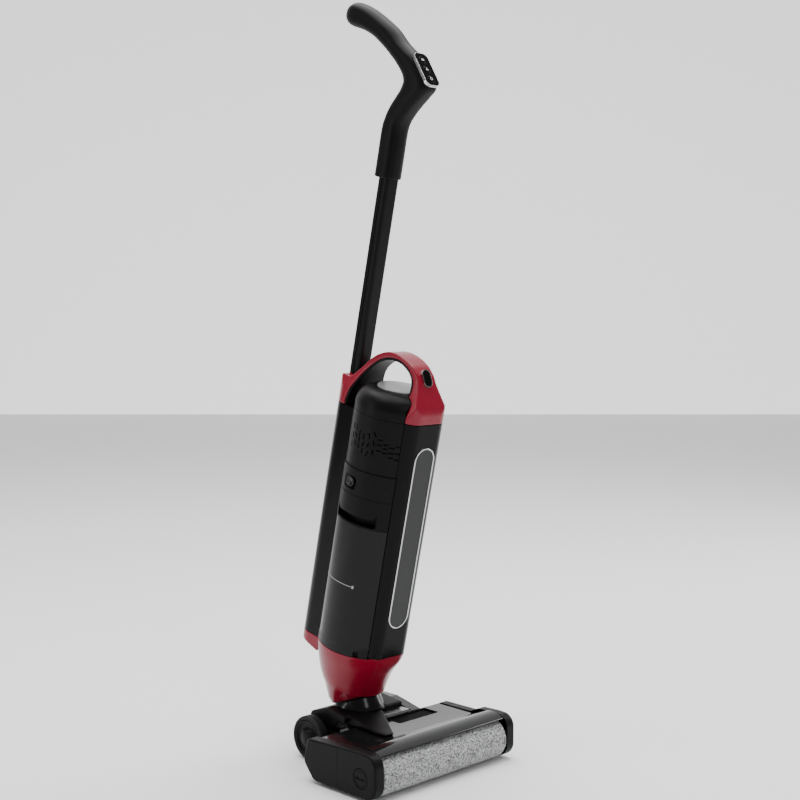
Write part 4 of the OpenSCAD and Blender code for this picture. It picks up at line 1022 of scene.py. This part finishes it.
def grip_skin():
    """The whole handle as one closed skin through its stations."""
    rings, last = [], len(GRIP_STATIONS) - 1
    for i in range(last):
        quad = [GRIP_STATIONS[min(max(k, 0), last)] for k in (i - 1, i, i + 1, i + 2)]
        halves = [TIP_HALVES.get(k, GRIP_HALF) for k in (i, i + 1)]
        tracks = []
        for edge in (0, 1):
            a, b, c, d = (Vector(station[edge]) for station in quad)
            tracks.append(interpolate_bezier(b, b + (c - a) / 6, c - (d - b) / 6, c, 5)[:-1])
        for k, (back, front) in enumerate(zip(*tracks)):
            half = halves[0] + (halves[1] - halves[0]) * k / 4
            square = GRIP_SQUARE
            if i < LAST_BEND:
                square = SLEEVE_SQUARE - 0.1 * max(0, i - LAST_SLEEVE)
            rings.append(grip_ring(back, front, half, square))
    back, front = (Vector(p) for p in GRIP_STATIONS[-1])
    rings.append(grip_ring(back, front, TIP_HALVES[last], GRIP_SQUARE))
    low_back, low_front = (Vector(p) for p in GRIP_STATIONS[0])
    draw = (low_front - low_back).normalized()
    rings[0] = grip_ring(low_back + draw * 1.2, low_front - draw * 1.2, GRIP_HALF - 1.2, SLEEVE_SQUARE)
    rings.insert(1, grip_ring(low_back + Vector((0, 1.2)), low_front + Vector((0, 1.2)), GRIP_HALF,
                              SLEEVE_SQUARE))
    for inward, up, narrower in ((6, 0.2, 3.6), (6.3, 8, 3.8)):
        lift = Vector((0, up))
        rings.insert(0, grip_ring(low_back + draw * inward + lift, low_front - draw * inward + lift,
                                  GRIP_HALF - narrower, SLEEVE_SQUARE))
    shape = skin(rings)
    bmesh.ops.holes_fill(shape, edges=[e for e in shape.edges if e.is_boundary])
    bmesh.ops.recalc_face_normals(shape, faces=shape.faces)
    return shape


def handle_half(hand):
    """One half shell of the handle, up to the seam in the middle."""
    shape = grip_skin()
    bmesh.ops.bisect_plane(shape, geom=shape.verts[:] + shape.edges[:] + shape.faces[:],
                           plane_co=(0.08 * hand, 0, 0), plane_no=(hand, 0, 0), clear_inner=True)
    bmesh.ops.holes_fill(shape, edges=[e for e in shape.edges if e.is_boundary])
    bmesh.ops.recalc_face_normals(shape, faces=shape.faces)
    return shape


handle_black = finish("handle_black", (0.0036, 0.0036, 0.0039), 0.42, grain=0.00002, grain_scale=1700,
                      gleam=0.12)
panel_place = Matrix.Translation((0, 49.4, 959.4)) @ Matrix.Rotation(math.radians(46), 4, "X")
PANEL_HALF, PANEL_REACH, PANEL_CORNER = 12.5, 27, 8
for hand, side in ((-1, "left"), (1, "right")):
    half = handle_half(hand)
    seat = slab(-PANEL_HALF - 0.6, PANEL_HALF + 0.6, -PANEL_REACH - 0.6, PANEL_REACH + 0.6, 8.5,
                -4.5, 16, panel_place)
    half = combined(half, seat)
    piece(half, f"handle_{side}_shell", BODY, handle_black, "upright", ["handle_" + side],
          smooth=48)

# The control panel on the elbow: a gloss black plate in a bright rim, with three keys that carry
# white signs for power, self-cleaning and the floor mode.
plate_outline = [(-PANEL_HALF, -PANEL_REACH, PANEL_CORNER), (PANEL_HALF, -PANEL_REACH, PANEL_CORNER),
                 (PANEL_HALF, PANEL_REACH, PANEL_CORNER), (-PANEL_HALF, PANEL_REACH, PANEL_CORNER)]
plate = prism(plate_outline, -6, 0.9, panel_place)
KEYS = (("mode", 16), ("clean", 0), ("power", -16))
for name, at in KEYS:
    plate = combined(plate, moved(turned([(0, -4.6), (5.7, -4.6), (5.7, 5), (0, 5)], steps=48),
                                  panel_place @ Matrix.Translation((0, at, 0))))
piece(plate, "panel_plate", BODY, deep_gloss, "upright", ["panel_face"], edge=0.3)
rim = prism([(x * 1.045, y * 1.02, r + 0.6) for x, y, r in plate_outline], -3.2, 1.3, panel_place)
rim = combined(rim, prism([(x * 0.985, y * 0.993, r - 0.2) for x, y, r in plate_outline], -9, 9,
                          panel_place))
piece(rim, "panel_rim", BODY, chrome, "upright", None, edge=0.3)
sign_white = finish("sign_white", (0.75, 0.75, 0.74), 0.5)


def key_sign(name):
    """The sign on a key, a little proud of it: thin rings and bars."""
    low, high = 1.2, 1.45
    if name == "power":
        ring = turned([(1.7, low), (2.3, low), (2.3, high), (1.7, high)], steps=32)
        bar = slab(-0.3, 0.3, 1.0, 3.4, 0, low, high)
        return joined(ring, bar)
    if name == "clean":
        drops = [moved(turned([(0.25, low), (0.95, low), (0.95, high), (0.25, high)], steps=20),
                       Matrix.Translation((x, y, 0))) for x, y in ((-1.3, -0.9), (1.3, -0.9), (0, 1.4))]
        return joined(*drops)
    bars = [slab(-2.4, 2.4, y - 0.3, y + 0.3, 0, low, high) for y in (-1.1, 0, 1.1)]
    return joined(*bars)


for name, at in KEYS:
    here = panel_place @ Matrix.Translation((0, at, 0))
    key = turned([(0, -2.4), (5.4, -2.4), (5.4, 0.9), (5, 1.25), (0, 1.25)], steps=48)
    piece(moved(key, here), f"key_{name}", BODY, deep_gloss, "button_" + name, ["button_" + name],
          edge=0.15)
    piece(moved(key_sign(name), here), f"sign_{name}", BODY, sign_white, "button_" + name, None)
